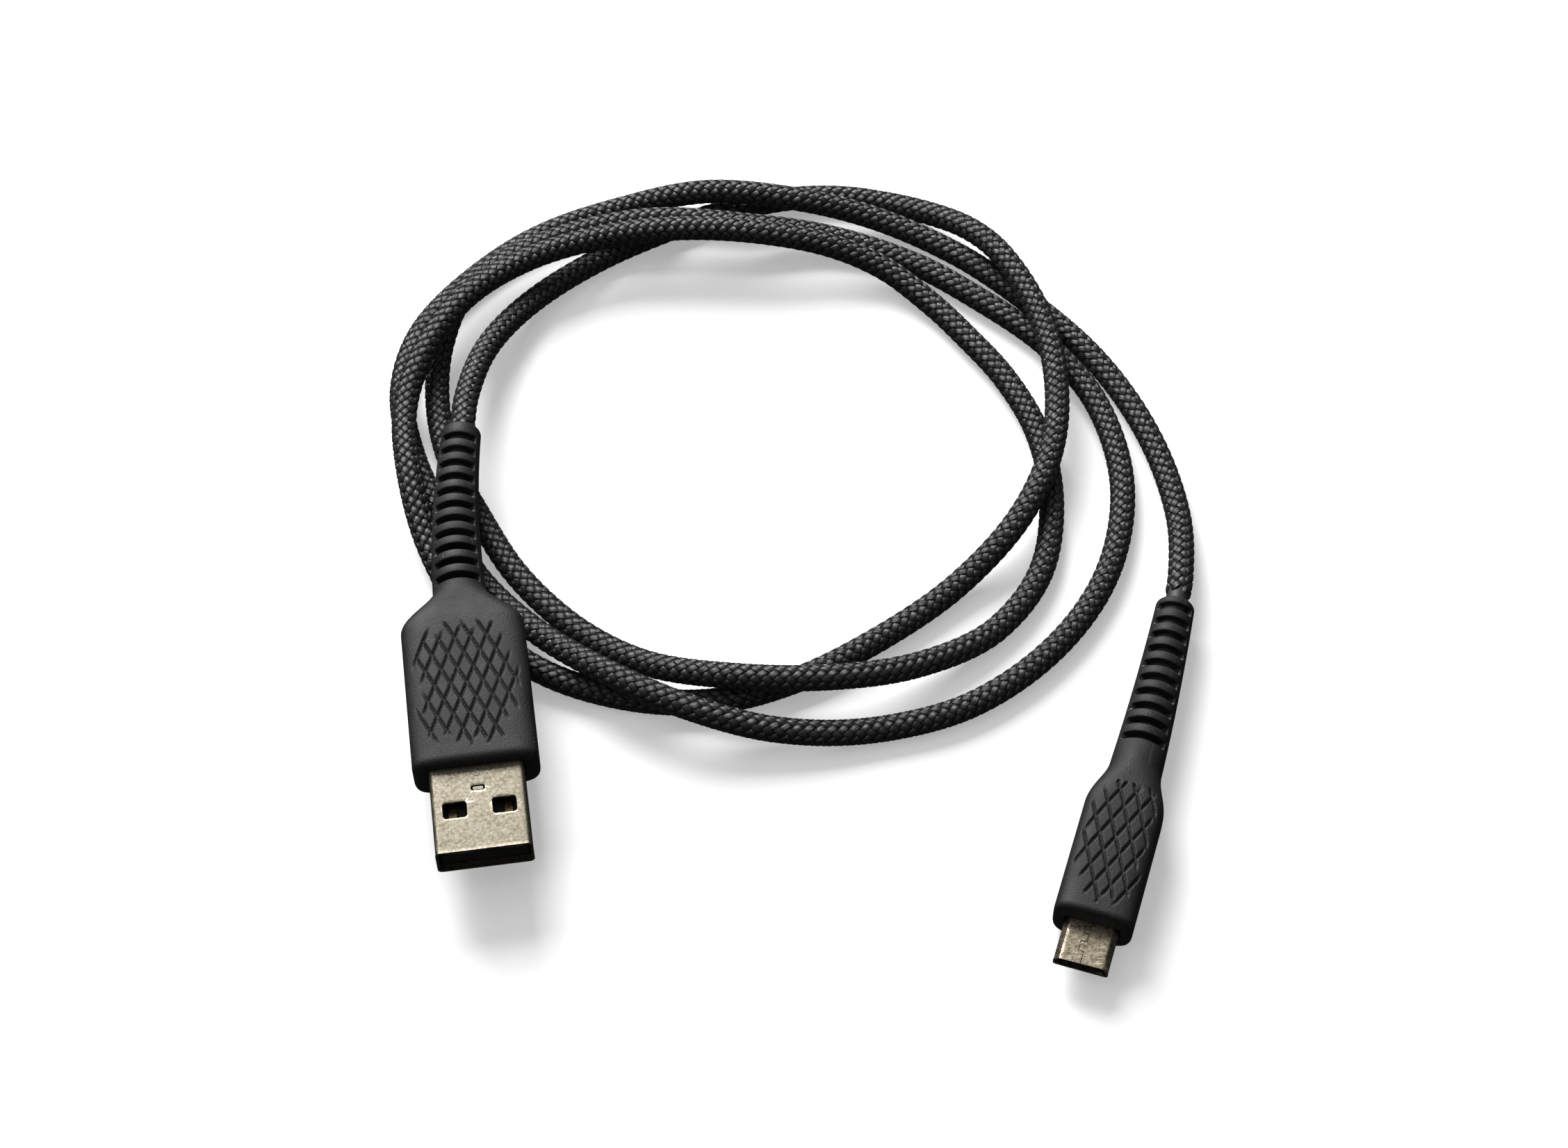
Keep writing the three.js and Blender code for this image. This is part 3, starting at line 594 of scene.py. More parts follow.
def makeBraidTree(size):
    tree, given, result = newGeometryTree("braidAlongCord", [
        ("Start", "Float", 0.0),
        ("Rows", "Int", 10),
        ("Columns", "Int", size["columns"]),
        ("Pick Step", "Float", size["pickStep"]),
        ("Surface", "Float", size["surface"]),
        ("Lean", "Float", math.radians(size["lean"])),
        ("Pick Length", "Float", size["pickLength"]),
        ("Pick Width", "Float", size["pickWidth"]),
        ("Pick Thickness", "Float", size["pickThickness"]),
        ("Tuck", "Float", size["tuck"]),
        ("Material", "Material", None),
        ("Seed", "Int", 5),
    ])
    roundCord = addMath(tree, "MULTIPLY", given["Surface"], 2 * math.pi)
    columnGap = addMath(tree, "DIVIDE", roundCord, given["Columns"])

    # one pick lying along X: a flat six-sided yarn, thinner and lower at its ends
    line = addStep(tree, "GeometryNodeCurvePrimitiveLine", {"Start": (-0.5, 0, 0), "End": (0.5, 0, 0)})
    line = addStep(tree, "GeometryNodeResampleCurve", {"Curve": line, "Count": 7})
    ring = addStep(tree, "GeometryNodeCurvePrimitiveCircle", {"Resolution": 6, "Radius": 0.5})
    yarn = addStep(tree, "GeometryNodeCurveToMesh",
                   {"Curve": line, "Profile Curve": ring, "Fill Caps": True})
    parts = addNode(tree, "ShaderNodeSeparateXYZ", {0: addPosition(tree)})
    fromMiddle = addMath(tree, "ABSOLUTE", addMath(tree, "MULTIPLY", parts.outputs[0], 2.0))
    bow = addMath(tree, "POWER", fromMiddle, 2.6)
    narrow = addMath(tree, "SUBTRACT", 1.0, addMath(tree, "MULTIPLY", bow, 0.12))
    flatter = addMath(tree, "ADD", 1.0, addMath(tree, "ABSOLUTE", parts.outputs[2]))
    across = addProduct(tree, parts.outputs[1], flatter, narrow, given["Pick Width"])
    height = addMath(tree, "MULTIPLY", parts.outputs[2], given["Pick Thickness"])
    height = addMath(tree, "SUBTRACT", height, addMath(tree, "MULTIPLY", bow, given["Tuck"]))
    shaped = addStep(tree, "ShaderNodeCombineXYZ", {
        0: addMath(tree, "MULTIPLY", parts.outputs[0], given["Pick Length"]), 1: across, 2: height,
    })
    pick = addStep(tree, "GeometryNodeSetPosition", {"Geometry": yarn, "Position": shaped})
    named = addStep(tree, "GeometryNodeStoreNamedAttribute",
                    {"Geometry": pick, "Name": "yarnPlace", "Value": addPosition(tree)},
                    data_type="FLOAT_VECTOR", domain="POINT")

    # a flat sheet of picks: along X as far as the cord runs, along Y once round it
    rowsLength = addProduct(tree, addMath(tree, "SUBTRACT", given["Rows"], 1.0), given["Pick Step"])
    columnsWidth = addProduct(tree, addMath(tree, "SUBTRACT", given["Columns"], 1.0), columnGap)
    sheet = addStep(tree, "GeometryNodeMeshGrid", {
        "Size X": rowsLength, "Size Y": columnsWidth,
        "Vertices X": given["Rows"], "Vertices Y": given["Columns"],
    })
    spot = addNode(tree, "ShaderNodeSeparateXYZ", {0: addPosition(tree)})
    fromEdge = addMath(tree, "ADD", spot.outputs[1], addMath(tree, "MULTIPLY", columnsWidth, 0.5))
    column = addMath(tree, "ROUND", addMath(tree, "DIVIDE", fromEdge, columnGap))
    odd = addMath(tree, "MODULO", column, 2.0)
    stagger = addProduct(tree, odd, 0.5, given["Pick Step"])
    along = addMath(tree, "ADD", addMath(tree, "MULTIPLY", rowsLength, 0.5), given["Start"])
    shift = addStep(tree, "ShaderNodeCombineXYZ", {0: addMath(tree, "ADD", along, stagger)})
    direction = addMath(tree, "SUBTRACT", addMath(tree, "MULTIPLY", odd, 2.0), 1.0)
    turn = addMath(tree, "MULTIPLY", direction, given["Lean"])
    jitter = addNode(tree, "FunctionNodeRandomValue", {"Seed": given["Seed"]}, data_type="FLOAT")
    wobble = addMath(tree, "MULTIPLY", addMath(tree, "SUBTRACT", jitter.outputs[1], 0.5), 0.14)
    spin = addStep(tree, "ShaderNodeCombineXYZ", {2: addMath(tree, "ADD", turn, wobble)})
    spots = addStep(tree, "GeometryNodeSetPosition", {"Geometry": sheet, "Offset": shift})
    picks = addStep(tree, "GeometryNodeInstanceOnPoints",
                    {"Points": spots, "Instance": named, "Rotation": spin})
    number = addNode(tree, "FunctionNodeRandomValue", {"Seed": 11}, data_type="FLOAT")
    numbered = addStep(tree, "GeometryNodeStoreNamedAttribute",
                       {"Geometry": picks, "Name": "pickNumber", "Value": number.outputs[1]},
                       data_type="FLOAT", domain="INSTANCE")
    loose = addStep(tree, "GeometryNodeRealizeInstances", {"Geometry": numbered})

    # the sheet wrapped round the cord's line
    flat = addNode(tree, "ShaderNodeSeparateXYZ", {0: addPosition(tree)})
    sample = addNode(tree, "GeometryNodeSampleCurve",
                     {"Curves": given["Geometry"], "Length": flat.outputs[0]}, mode="LENGTH")
    sides = addVectorMath(tree, "CROSS_PRODUCT", sample.outputs["Tangent"], sample.outputs["Normal"])
    angle = addMath(tree, "DIVIDE", flat.outputs[1], given["Surface"])
    radius = addMath(tree, "ADD", flat.outputs[2], given["Surface"])
    up = addVectorMath(tree, "SCALE", sample.outputs["Normal"], addMath(tree, "COSINE", angle))
    sideways = addVectorMath(tree, "SCALE", sides, addMath(tree, "SINE", angle))
    outward = addVectorMath(tree, "SCALE", addVectorMath(tree, "ADD", up, sideways), radius)
    wrapped = addStep(tree, "GeometryNodeSetPosition", {
        "Geometry": loose,
        "Position": addVectorMath(tree, "ADD", sample.outputs["Position"], outward),
    })
    smooth = addStep(tree, "GeometryNodeSetShadeSmooth", {"Geometry": wrapped})
    solid = addStep(tree, "GeometryNodeRealizeInstances", {"Geometry": smooth})
    coloured = addStep(tree, "GeometryNodeSetMaterial", {"Geometry": solid, "Material": given["Material"]})
    tree.links.new(coloured, result.inputs[0])
    return tree


def setInput(modifier, tree, label, value):
    for item in tree.interface.items_tree:
        if item.name == label and item.in_out == "INPUT":
            modifier[item.identifier] = value


def makeBraid(size):
    tree = makeBraidTree(size)
    rows = int(cordLength / size["pickStep"] / size["pieces"])
    for i in range(size["pieces"]):
        source = pathCurve("cordRoute", cordPath)
        sceneObjects.link(source)
        modifier = source.modifiers.new("braid", "NODES")
        modifier.node_group = tree
        setInput(modifier, tree, "Start", i * rows * size["pickStep"])
        setInput(modifier, tree, "Rows", rows)
        setInput(modifier, tree, "Material", yarnMaterial)
        mesh = bakedMesh(source, f"braid_{i + 1}")
        piece = addPiece(f"braid_{i + 1}", mesh)
        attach(piece, "cable")


def makeCordCore(size):
    source = pathCurve("cord_core", cordPath)
    source.data.bevel_depth = size["coreRadius"]
    source.data.bevel_resolution = 3
    source.data.use_fill_caps = True
    sceneObjects.link(source)
    mesh = bakedMesh(source, "cord_core")
    mesh.shade_smooth()
    core = addPiece("cord_core", mesh, plastics["innerSleeve"])
    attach(core, "cable")
    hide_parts("cord")
    return core


cordCore = makeCordCore(braidSize)
makeBraid(braidSize)
print("cord and braid made")


# Plugs. Along a plug, distances count from the front edge of its metal shell, in millimetres.

largePlug = {
    "name": "usb_a", "turn": 0.0, "front": 12.0, "shoulder": 33.0, "neck": 40.0, "end": 67.0,
    "halfWidth": 8.0, "halfHeight": 4.0, "neckRadius": 3.5, "tipRadius": 2.65,
    "frontRounding": 1.0, "tipRounding": 0.75, "squareness": 5.0,
    "bendRadius": 147.0, "bendSide": 1,
    "slots": 11, "firstSlot": 40.7, "slotStep": 2.36, "slotWidth": 1.12, "slotHalfAngle": 58.0,
    "slotFloor": 1.9, "bore": 1.8, "columnGap": 0.11,
    "shellHalf": (6.0, 2.25), "shellLength": 19.0, "pocketHalf": (7.15, 3.15),
    "lattice": {"middle": 23.5, "reach": (6.4, 9.0)},
}

smallPlug = {
    "name": "micro", "turn": -25.4, "front": 5.7, "shoulder": 22.0, "neck": 29.4, "end": 55.7,
    "halfWidth": 5.05, "halfHeight": 3.8, "neckRadius": 3.4, "tipRadius": 2.55,
    "frontRounding": 0.8, "tipRounding": 0.6, "squareness": 4.0,
    "bendRadius": 430.0, "bendSide": -1,
    "slots": 10, "firstSlot": 32.7, "slotStep": 2.36, "slotWidth": 1.12, "slotHalfAngle": 58.0,
    "slotFloor": 1.9, "bore": 1.8, "columnGap": 0.1,
    "shellHalf": (3.425, 0.9), "shellLength": 9.5, "pocketHalf": (4.25, 3.0),
    "lattice": {"middle": 16.9, "reach": (4.1, 9.2)},
}

latticeLines = {"gap": 2.05, "slope": 0.446, "depth": 0.38, "half": 0.25}  # pressed in both grips
partingDepth = 0.12
slotLip = {"width": 0.16, "depth": 0.1}


def plugMatrix(plug, shellNode):
    low, high = (Vector(p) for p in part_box(shellNode))
    turn = Matrix.Rotation(math.radians(plug["turn"]), 4, "Z")
    nose = (low + high) / 2 - turn @ Vector((0, plug["shellLength"] * mm / 2, 0))
    return Matrix.Translation(nose) @ turn @ Matrix.Scale(mm, 4)


largePlug["matrix"] = plugMatrix(largePlug, "usb_a_shell")
smallPlug["matrix"] = plugMatrix(smallPlug, "micro_shell")


def bendPoint(plug, x, s, z):
    beyond = s - plug["neck"]
    if beyond <= 0:
        return Vector((x, s, z))
    side = plug["bendSide"]
    angle = beyond / plug["bendRadius"]
    radius = plug["bendRadius"] - side * x
    return Vector((side * (plug["bendRadius"] - radius * math.cos(angle)),
                   plug["neck"] + radius * math.sin(angle), z))


def edgeLoss(distance, rounding):
    t = min(max(distance / rounding, 0), 1)
    return rounding * (1 - math.sqrt(1 - (1 - t) ** 2))


def sectionAt(plug, s):  # half width, half height and squareness of the moulding
    blend = smoothStep(s, plug["shoulder"], plug["neck"])
    alongBoot = max(0, (s - plug["neck"]) / (plug["end"] - plug["neck"]))
    boot = plug["neckRadius"] + (plug["tipRadius"] - plug["neckRadius"]) * alongBoot
    loss = edgeLoss(s - plug["front"], plug["frontRounding"]) + edgeLoss(plug["end"] - s, plug["tipRounding"])
    width = plug["halfWidth"] + (boot - plug["halfWidth"]) * blend - loss
    height = plug["halfHeight"] + (boot - plug["halfHeight"]) * blend - loss
    return width, height, plug["squareness"] + (2 - plug["squareness"]) * blend


def latticeDepth(lattice, x, s, lines=latticeLines):
    across, along = lattice["reach"]
    outline = (abs(x) / across) ** 3 + (abs(s - lattice["middle"]) / along) ** 3
    if outline > 1.5:
        return 0
    deepest = 0
    for side in (-1, 1):
        u = x - side * lines["slope"] * (s - lattice["middle"])
        line = round(u / lines["gap"])
        distance = abs(u - line * lines["gap"]) / math.sqrt(1 + lines["slope"] ** 2)
        ragged = math.sin(line * 2.4 + side) if x * side > 0 else math.sin(line * 4.1 - side)
        fade = smoothStep(1.05 + 0.25 * ragged - outline, 0.0, 0.3)
        groove = max(0, 1 - distance / lines["half"])
        deepest = max(deepest, lines["depth"] * fade * groove ** 0.8)
    return deepest


def stationList(plug):  # close together where the shape turns
    front, shoulder, neck, end = (plug[k] for k in ("front", "shoulder", "neck", "end"))
    half, lip = plug["slotWidth"] / 2, slotLip["width"]
    roundingSteps = (0, 0.04, 0.13, 0.28, 0.5, 0.75, 1)
    stations = [front + plug["frontRounding"] * t for t in roundingSteps]
    stations += spread(stations[-1], shoulder + 2, int((shoulder + 2 - stations[-1]) / 0.17))[1:]
    stations += spread(shoulder + 2, neck, 18)[1:]
    for i in range(plug["slots"]):
        middle = plug["firstSlot"] + i * plug["slotStep"]
        for side in (-1, 1):
            stations += [middle + side * (half + t) for t in (lip, 0.05, 0, -0.02)]
        stations += [middle, middle + plug["slotStep"] / 2]
    stations += [end - plug["tipRounding"] * t for t in roundingSteps]
    return sorted(set(round(s, 4) for s in stations if front <= s <= end))


def angleList(plug):  # evenly spaced columns over the grip's flat faces, and closer at the slots' ends
    flat = 0.965
    n = plug["squareness"]
    steps = int(2 * flat * plug["halfWidth"] / plug["columnGap"])
    top = [math.acos(math.copysign(abs(q) ** (n / 2), q)) for q in spread(flat, -flat, steps)]
    sideHeight = (1 - flat ** n) ** (1 / n)
    rise = [math.asin((sideHeight * k / 9) ** (n / 2)) for k in range(1, 9)]
    seam = math.asin(0.02 ** (n / 2))
    quarter = [seam] + rise
    slotEdge = math.radians(90 - plug["slotHalfAngle"])
    edges = [slotEdge - 0.02, slotEdge + 0.02, math.pi - slotEdge - 0.02, math.pi - slotEdge + 0.02]
    upper = sorted(quarter + top + edges + [math.pi - a for a in quarter])
    return [0.0] + upper + [math.pi] + [a + math.pi for a in upper]


def slotShare(plug, s):  # 1 inside a slot, a little at its rounded lips, 0 on the ribs
    if not plug["firstSlot"] - 1 < s < plug["firstSlot"] + plug["slots"] * plug["slotStep"]:
        return 0, 0
    i = round((s - plug["firstSlot"]) / plug["slotStep"])
    i = min(max(i, 0), plug["slots"] - 1)
    off = abs(s - plug["firstSlot"] - i * plug["slotStep"]) - plug["slotWidth"] / 2
    if off < -0.01:
        return 1, 0
    return 0, slotLip["depth"] * (1 - min(max(off, 0) / slotLip["width"], 1)) ** 2


def roundedBoxPoint(halfWidth, halfHeight, squareness, angle):
    c, d = math.cos(angle), math.sin(angle)
    power = 2 / squareness
    return (halfWidth * math.copysign(abs(c) ** power, c), halfHeight * math.copysign(abs(d) ** power, d))


def mouldingPoint(plug, s, angle):
    width, height, squareness = sectionAt(plug, s)
    x, z = roundedBoxPoint(width, height, squareness, angle)
    if plug["front"] + 1 < s < plug["shoulder"] + 3 and abs(z) > 0.6 * height:
        z -= math.copysign(latticeDepth(plug["lattice"], x, s), z)
    if s < plug["neck"] and abs(math.sin(angle)) < 1e-6:
        x -= math.copysign(partingDepth, x)
    inSlot, lip = slotShare(plug, s)
    upward = math.degrees(math.asin(abs(math.sin(angle)))) if s > plug["neck"] else 0
    if upward > 90 - plug["slotHalfAngle"] and (inSlot or lip):
        radius = math.hypot(x, z)
        wanted = plug["slotFloor"] if inSlot else radius - lip
        x, z = x * wanted / radius, z * wanted / radius
    return x, z


def makeMoulding(plug, node):
    angles = angleList(plug)
    rings = []
    for s in stationList(plug):
        rings.append([(*mouldingPoint(plug, s, a), s) for a in angles])
    # back along the inside: the bore, the pocket for the inner mould, and the opening round the shell
    width, height = plug["shellHalf"]
    pocketWidth, pocketHeight = plug["pocketHalf"]
    bore, room = plug["bore"], 0.15
    inside = [(plug["end"] - t, bore, bore, 2) for t in spread(0, plug["end"] - plug["neck"], 12)]
    inside += [(plug["shoulder"] + 1.5, bore, bore, 2)]
    inside += [(plug["shoulder"] - 0.5, pocketWidth, pocketHeight, 6)]
    inside += [(plug["front"] + 1.0, pocketWidth, pocketHeight, 6)]
    inside += [(plug["front"] + s, width + room, height + room, 9) for s in (0.9, 0.12)]
    for s, w, h, n in inside:
        rings.append([(*roundedBoxPoint(w, h, n, a), s) for a in angles])
    count = len(angles)
    points = [plug["matrix"] @ bendPoint(plug, x, s, z) for ring in rings for x, z, s in ring]
    faces = []
    for r in range(len(rings)):
        here, there = r * count, ((r + 1) % len(rings)) * count
        for i in range(count):
            j = (i + 1) % count
            faces.append((here + i, here + j, there + j, there + i))
    mesh = outwardMesh(plug["name"] + "_moulding", points, faces)
    smoothByAngle(mesh, 40)
    piece = addPiece(plug["name"] + "_moulding", mesh, mouldingMaterial)
    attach(piece, "cable")
    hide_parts(node)
    print(piece.name, len(mesh.polygons), "faces")
    return piece


makeMoulding(largePlug, "usb_a_overmould")
smallMoulding = makeMoulding(smallPlug, "micro_overmould")


# Little beads of flash where the boot's slots end, scattered on points by geometry nodes

beadSize = {
    "length": 0.62 * mm, "width": 0.26 * mm, "share": 0.85, "seed": 4,
    "angle": 2.0,     # degrees beyond the slot's end
    "outward": 0.95,  # of the way from the boot's middle to its surface
    "forward": 0.3,
}


def makeBeadTree(size):
    tree, given, result = newGeometryTree("slotBeads", [
        ("Length", "Float", size["length"]),
        ("Width", "Float", size["width"]),
        ("Share", "Float", size["share"]),
        ("Material", "Material", None),
        ("Seed", "Int", size["seed"]),
    ])
    ball = addStep(tree, "GeometryNodeMeshIcoSphere", {"Radius": 0.5, "Subdivisions": 2})
    kept = addNode(tree, "FunctionNodeRandomValue", {"Probability": given["Share"], "Seed": given["Seed"]},
                   data_type="BOOLEAN")
    turn = addStep(tree, "FunctionNodeRandomValue", {0: (-0.3, -0.3, -0.4), 1: (0.3, 0.3, 0.4), "Seed": 2},
                   data_type="FLOAT_VECTOR")
    sizes = addStep(tree, "ShaderNodeCombineXYZ", {0: given["Length"], 1: given["Width"], 2: given["Width"]})
    swell = addNode(tree, "FunctionNodeRandomValue", {2: 0.6, 3: 1.1, "Seed": 7}, data_type="FLOAT")
    scale = addVectorMath(tree, "SCALE", sizes, swell.outputs[1])
    beads = addStep(tree, "GeometryNodeInstanceOnPoints", {
        "Points": given["Geometry"], "Selection": kept.outputs[3], "Instance": ball,
        "Rotation": turn, "Scale": scale,
    })
    solid = addStep(tree, "GeometryNodeRealizeInstances", {"Geometry": beads})
    smooth = addStep(tree, "GeometryNodeSetShadeSmooth", {"Geometry": solid})
    coloured = addStep(tree, "GeometryNodeSetMaterial", {"Geometry": smooth, "Material": given["Material"]})
    tree.links.new(coloured, result.inputs[0])
    return tree


beadTree = makeBeadTree(beadSize)


def makeBeads(plug, size):
    points = []
    angle = math.radians(plug["slotHalfAngle"] + size["angle"])
    for i in range(plug["slots"]):
        s = plug["firstSlot"] + i * plug["slotStep"]
        width, height, _ = sectionAt(plug, s)
        x, z = width * size["outward"] * math.sin(angle), height * size["outward"] * math.cos(angle)
        for side in (-1, 1):
            for top in (-1, 1):
                points.append(plug["matrix"] @ bendPoint(plug, side * x, s - size["forward"], top * z))
    mesh = bpy.data.meshes.new("beadSpots")
    mesh.from_pydata(points, [], [])
    source = addPiece("beadSpots", mesh)
    modifier = source.modifiers.new("beads", "NODES")
    modifier.node_group = beadTree
    setInput(modifier, beadTree, "Material", plastics["flashEdge"])
    piece = addPiece(plug["name"] + "_flash", bakedMesh(source, plug["name"] + "_flash"))
    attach(piece, "cable")
    return piece


makeBeads(largePlug, beadSize)
smallBeads = makeBeads(smallPlug, beadSize)


# Metal shells: thin tubes with cut windows and softened edges. Their sizes are in millimetres too.

def roundedRectangle(width, height, radius, steps=6):
    points = []
    for corner in range(4):
        cx = (1 if corner in (0, 3) else -1) * (width / 2 - radius)
        cz = (1 if corner < 2 else -1) * (height / 2 - radius)
        for i in range(steps + 1):
            a = (corner + i / steps) * math.pi / 2
            points.append((cx + radius * math.cos(a), cz + radius * math.sin(a)))
    return points


def extruded(name, outline, low, high, toPoint):
    count = len(outline)
    points = [toPoint(a, b, depth) for depth in (low, high) for a, b in outline]
    faces = [tuple(range(count)), tuple(range(2 * count - 1, count - 1, -1))]
    for i in range(count):
        j = (i + 1) % count
        faces.append((i, j, count + j, count + i))
    return outwardMesh(name, points, faces)


def alongPlug(plug):
    return lambda a, b, depth: plug["matrix"] @ Vector((a, depth, b))


def downThroughPlug(plug, x, s):
    return lambda a, b, depth: plug["matrix"] @ Vector((x + a, s + b, depth))


def addCuts(piece, cutters):
    helpers = []
    for cutter in cutters:
        helper = addPiece("cutter", cutter)
        helpers.append(helper)
        modifier = piece.modifiers.new("cut", "BOOLEAN")
        modifier.operation = "DIFFERENCE"
        modifier.solver = "EXACT"
        modifier.object = helper
    return helpers


# The small faces keep both the edge wear and the painted edge highlight close to the edges.
def splitInGrid(mesh, plug, step=0.5, shift=0.013):  # small faces, so that edge wear stays at the edges
    bm = bmesh.new()
    bm.from_mesh(mesh)
    bmesh.ops.triangulate(bm, faces=bm.faces)
    turn = plug["matrix"].to_quaternion()
    halfWidth = plug["shellHalf"][0]
    for axis, low, high in (((1, 0, 0), -halfWidth, halfWidth), ((0, 1, 0), 0, plug["shellLength"])):
        normal = turn @ Vector(axis)
        for place in spread(low, high, int((high - low) / step))[1:-1]:
            spot = plug["matrix"] @ (Vector(axis) * (place + shift))
            everything = bm.verts[:] + bm.edges[:] + bm.faces[:]
            bmesh.ops.bisect_plane(bm, geom=everything, dist=1e-7, plane_co=spot, plane_no=normal)
    bm.to_mesh(mesh)
    bm.free()


def cutAndSoften(name, body, cutters, bevel, material, plug=None, crispCutters=()):
    piece = addPiece(name + "_raw", body)
    helpers = addCuts(piece, cutters)
    soften = piece.modifiers.new("soften", "BEVEL")
    soften.width = bevel
    soften.segments = 2
    soften.limit_method = "ANGLE"
    soften.angle_limit = math.radians(40)
    helpers += addCuts(piece, crispCutters)
    mesh = bakedMesh(piece, name)
    for helper in helpers:
        bpy.data.objects.remove(helper)
    if plug:
        splitInGrid(mesh, plug)
    smoothByAngle(mesh, 50)
    flatten = addPiece(name + "_shaded", mesh).modifiers.new("flatten", "WEIGHTED_NORMAL")
    flatten.keep_sharp = True
    flatten.weight = 80
    return addPiece(name, bakedMesh(flatten.id_data, name), material)


def torusMesh(name, middle, radius, thickness, toPoint):
    points, faces = [], []
    around, section = 28, 8
    for i in range(around):
        a = 2 * math.pi * i / around
        for k in range(section):
            b = 2 * math.pi * k / section
            r = radius + thickness * math.cos(b)
            points.append(toPoint(r * math.cos(a), r * math.sin(a), middle + thickness * math.sin(b)))
    for i in range(around):
        for k in range(section):
            n, m = (i + 1) % around, (k + 1) % section
            faces.append((i * section + k, n * section + k, n * section + m, i * section + m))
    return outwardMesh(name, points, faces)


largeShellSize = {
    "width": 12.0, "height": 4.5, "corner": 0.62, "wall": 0.3, "edge": 0.1,
    "windowX": 3.1, "windowS": 5.95, "window": (3.0, 2.3), "windowCorner": 0.42,
    "tabS": 8.8, "tab": (1.75, 0.75), "tabGap": (0.55, 0.36), "tabBelow": (0.55, 0.12),
    "dimpleS": 10.9, "dimpleRadius": 0.28, "dimpleThickness": 0.09,
}


def makeLargeShell(plug, size):
    place = alongPlug(plug)
    wall = size["wall"]
    outline = roundedRectangle(size["width"], size["height"], size["corner"])
    inner = roundedRectangle(size["width"] - 2 * wall, size["height"] - 2 * wall, size["corner"] - wall)
    body = extruded("shell", outline, 0, plug["shellLength"], place)
    cutters = [extruded("hollow", inner, -1, plug["shellLength"] + 1, place)]
    window = roundedRectangle(*size["window"], size["windowCorner"])
    for side in (-1, 1):
        down = downThroughPlug(plug, side * size["windowX"], size["windowS"])
        cutters.append(extruded("window", window, -size["height"], size["height"], down))
    tab = roundedRectangle(*size["tab"], 0.3)
    cutters.append(extruded("tabSlot", tab, 1.0, size["height"], downThroughPlug(plug, 0, size["tabS"])))
    finish = metals["champagneShell"]
    shell = cutAndSoften("usb_a_metal_shell", body, cutters, size["edge"] * mm, finish, plug)
    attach(shell, "cable")
    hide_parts("usb_a_shell")


def makeLargeShellTrim(plug, size):
    top = size["height"] / 2
    down = downThroughPlug(plug, 0, size["dimpleS"])
    mesh = torusMesh("dimple", top, size["dimpleRadius"], size["dimpleThickness"], down)
    mesh.shade_smooth()
    ring = addPiece("usb_a_dimple", mesh, metals["champagneShell"])
    width, length = (whole - gap for whole, gap in zip(size["tab"], size["tabGap"]))
    low, high = (top - below for below in size["tabBelow"])
    outline = roundedRectangle(width, length, 0.15)
    tongue = extruded("tab", outline, low, high, downThroughPlug(plug, 0, size["tabS"]))
    tab = cutAndSoften("usb_a_spring_tab", tongue, [], 0.05 * mm, metals["champagneShell"])
    for piece in (ring, tab):
        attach(piece, "cable")


makeLargeShell(largePlug, largeShellSize)
makeLargeShellTrim(largePlug, largeShellSize)


smallShellSize = {
    "half": 3.425, "topHalf": 2.7, "tall": 0.9, "corner": 0.25, "wall": 0.2, "edge": 0.09,
    "seamWidth": 0.13, "seamDepth": 0.15,
    "seam": [(0.1, 6.1), (0.1, 5.2), (-0.7, 5.2), (-0.7, 4.2), (0.0, 4.2), (0.0, 3.1), (-0.75, 3.1),
             (-0.75, 1.7), (-0.1, 1.7), (-0.1, -0.3)],
    "hookX": 2.35, "hookSlot": (0.8, 1.8), "hookS": 2.1,
}


def smallOutline(size, inset=0.0):  # upper corners sloped, lower corners cut off a little
    half, tall, corner = size["half"] - inset, size["tall"] - inset, size["corner"]
    top = size["topHalf"] - inset * 0.41
    side = [(half, -tall + corner), (half, tall - half + top), (top, tall)]
    base = (half - corner, -tall)
    return side + [(-x, z) for x, z in reversed(side)] + [(-base[0], base[1]), base]


def ribbonOutline(line, half):  # both sides of a line that turns at right angles
    left, right = [], []
    for i, (x, s) in enumerate(line):
        before = Vector(line[i]) - Vector(line[i - 1]) if i else Vector(line[1]) - Vector(line[0])
        after = Vector(line[i + 1]) - Vector(line[i]) if i + 1 < len(line) else before
        before, after = before.normalized(), after.normalized()
        side = Vector((-before.y - after.y, before.x + after.x))
        side *= half * (1.0 if before != after else 0.5)
        left.append((x + side.x, s + side.y))
        right.append((x - side.x, s - side.y))
    return left + right[::-1]


def makeSmallShell(plug, size):
    place = alongPlug(plug)
    body = extruded("shell", smallOutline(size), 0, plug["shellLength"], place)
    cutters = [extruded("hollow", smallOutline(size, size["wall"]), -1, plug["shellLength"] + 1, place)]
    ribbon = ribbonOutline(size["seam"], size["seamWidth"] / 2)
    seam = extruded("seam", ribbon, size["tall"] - size["seamDepth"], size["tall"] + 1,
                    downThroughPlug(plug, 0, 0))
    hook = roundedRectangle(*size["hookSlot"], 0.15)
    for side in (-1, 1):
        down = downThroughPlug(plug, side * size["hookX"], size["hookS"])
        cutters.append(extruded("hookSlot", hook, -2, -size["tall"] + size["wall"] + 0.1, down))
    finish = metals["bronzeShell"]
    shell = cutAndSoften("micro_metal_shell", body, cutters, size["edge"] * mm, finish, plug, [seam])
    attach(shell, "cable")
    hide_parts("micro_shell")
    return shell


smallShell = makeSmallShell(smallPlug, smallShellSize)
print("plugs made")


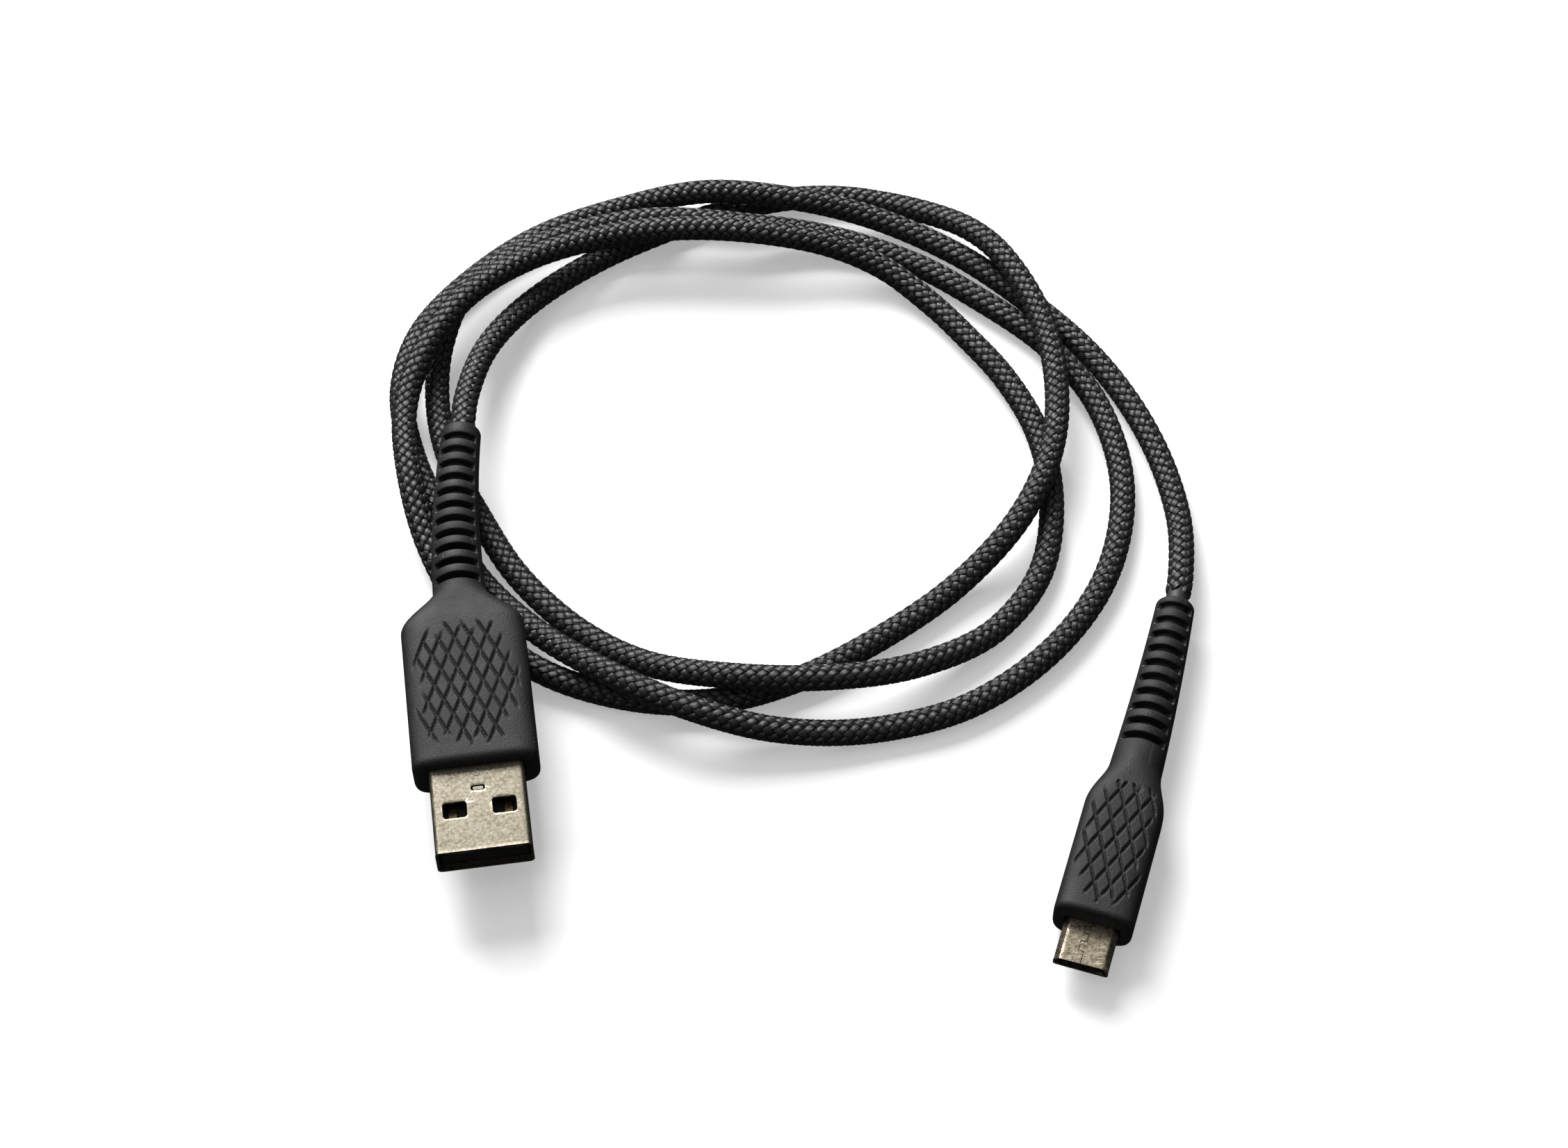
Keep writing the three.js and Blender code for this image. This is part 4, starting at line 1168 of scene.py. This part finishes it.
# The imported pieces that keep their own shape

keptFinishes = {  # by the part of a node's name
    "insulator": plastics["blackTongue"],
    "inner_mould": plastics["innerMoulding"],
    "jacket": plastics["innerSleeve"],
    "crimp_ring": metals["springSteel"],
    "latch": metals["springSteel"],
    "contact": metals["goldContact"],
    "wire_1": plastics["redWire"],
    "wire_2": plastics["whiteWire"],
    "wire_3": plastics["greenWire"],
    "wire_4": plastics["blackWire"],
}
for name, node in frame["nodes"].items():
    for part, material in keptFinishes.items():
        if part in name:
            node.data.materials.clear()
            node.data.materials.append(material)


# The small plug's pieces, listed together

smallPlugPieces = [smallMoulding, smallBeads, smallShell]
smallPlugPieces += [frame["nodes"][n] for n in ("micro_insulator", "micro_latch_left", "micro_latch_right")]


# Floor and light

studio = {
    "floor": (0.6, 0.6, 0.6), "floorGlow": 0.36, "skyAbove": 0.35, "skyAtSides": 0.04,
    "keyPlace": (-0.2, 0.8, 0.66), "keySize": 0.6, "keyPower": 23.0,
    "fillPlace": (-0.5, 0.1, 0.9), "fillSize": 0.8, "fillPower": 2.0,
}


def addLamp(name, place, size, power):
    data = bpy.data.lights.new(name, "AREA")
    data.shape = "SQUARE"
    data.size = size
    data.energy = power
    lamp = bpy.data.objects.new(name, data)
    lamp.location = place
    lamp.rotation_euler = (Vector((0, 0.02, 0)) - Vector(place)).to_track_quat("-Z", "Y").to_euler()
    sceneObjects.link(lamp)


def makeStudio(look):
    mesh = bpy.data.meshes.new("floor")
    mesh.from_pydata([(-3, -3, 0), (3, -3, 0), (3, 3, 0), (-3, 3, 0)], [], [(0, 1, 2, 3)])
    material = bpy.data.materials.new("floor")
    material.use_nodes = True
    shader = material.node_tree.nodes["Principled BSDF"]
    shader.inputs["Base Color"].default_value = (*look["floor"], 1)
    shader.inputs["Roughness"].default_value = 0.9
    shader.inputs["Specular IOR Level"].default_value = 0.1
    shader.inputs["Emission Color"].default_value = (1, 1, 1, 1)
    shader.inputs["Emission Strength"].default_value = look["floorGlow"]
    floor = addPiece("floor", mesh, material)
    floor.visible_diffuse = False  # so that it throws no light up at the cable
    floor.visible_glossy = False
    world = bpy.data.worlds.new("studio")
    world.use_nodes = True
    tree = world.node_tree
    generated = tree.nodes.new("ShaderNodeTexCoord").outputs["Generated"]
    direction = addNode(tree, "ShaderNodeSeparateXYZ", {0: generated})
    sky = addRange(tree, direction.outputs[2], 0.1, 0.85, look["skyAtSides"], look["skyAbove"])
    tree.links.new(sky, tree.nodes["Background"].inputs["Strength"])
    tree.nodes["Background"].inputs["Color"].default_value = (1, 1, 1, 1)
    bpy.context.scene.world = world
    addLamp("key", look["keyPlace"], look["keySize"], look["keyPower"])
    addLamp("fill", look["fillPlace"], look["fillSize"], look["fillPower"])
    bpy.context.scene.view_settings.view_transform = "Standard"


makeStudio(studio)
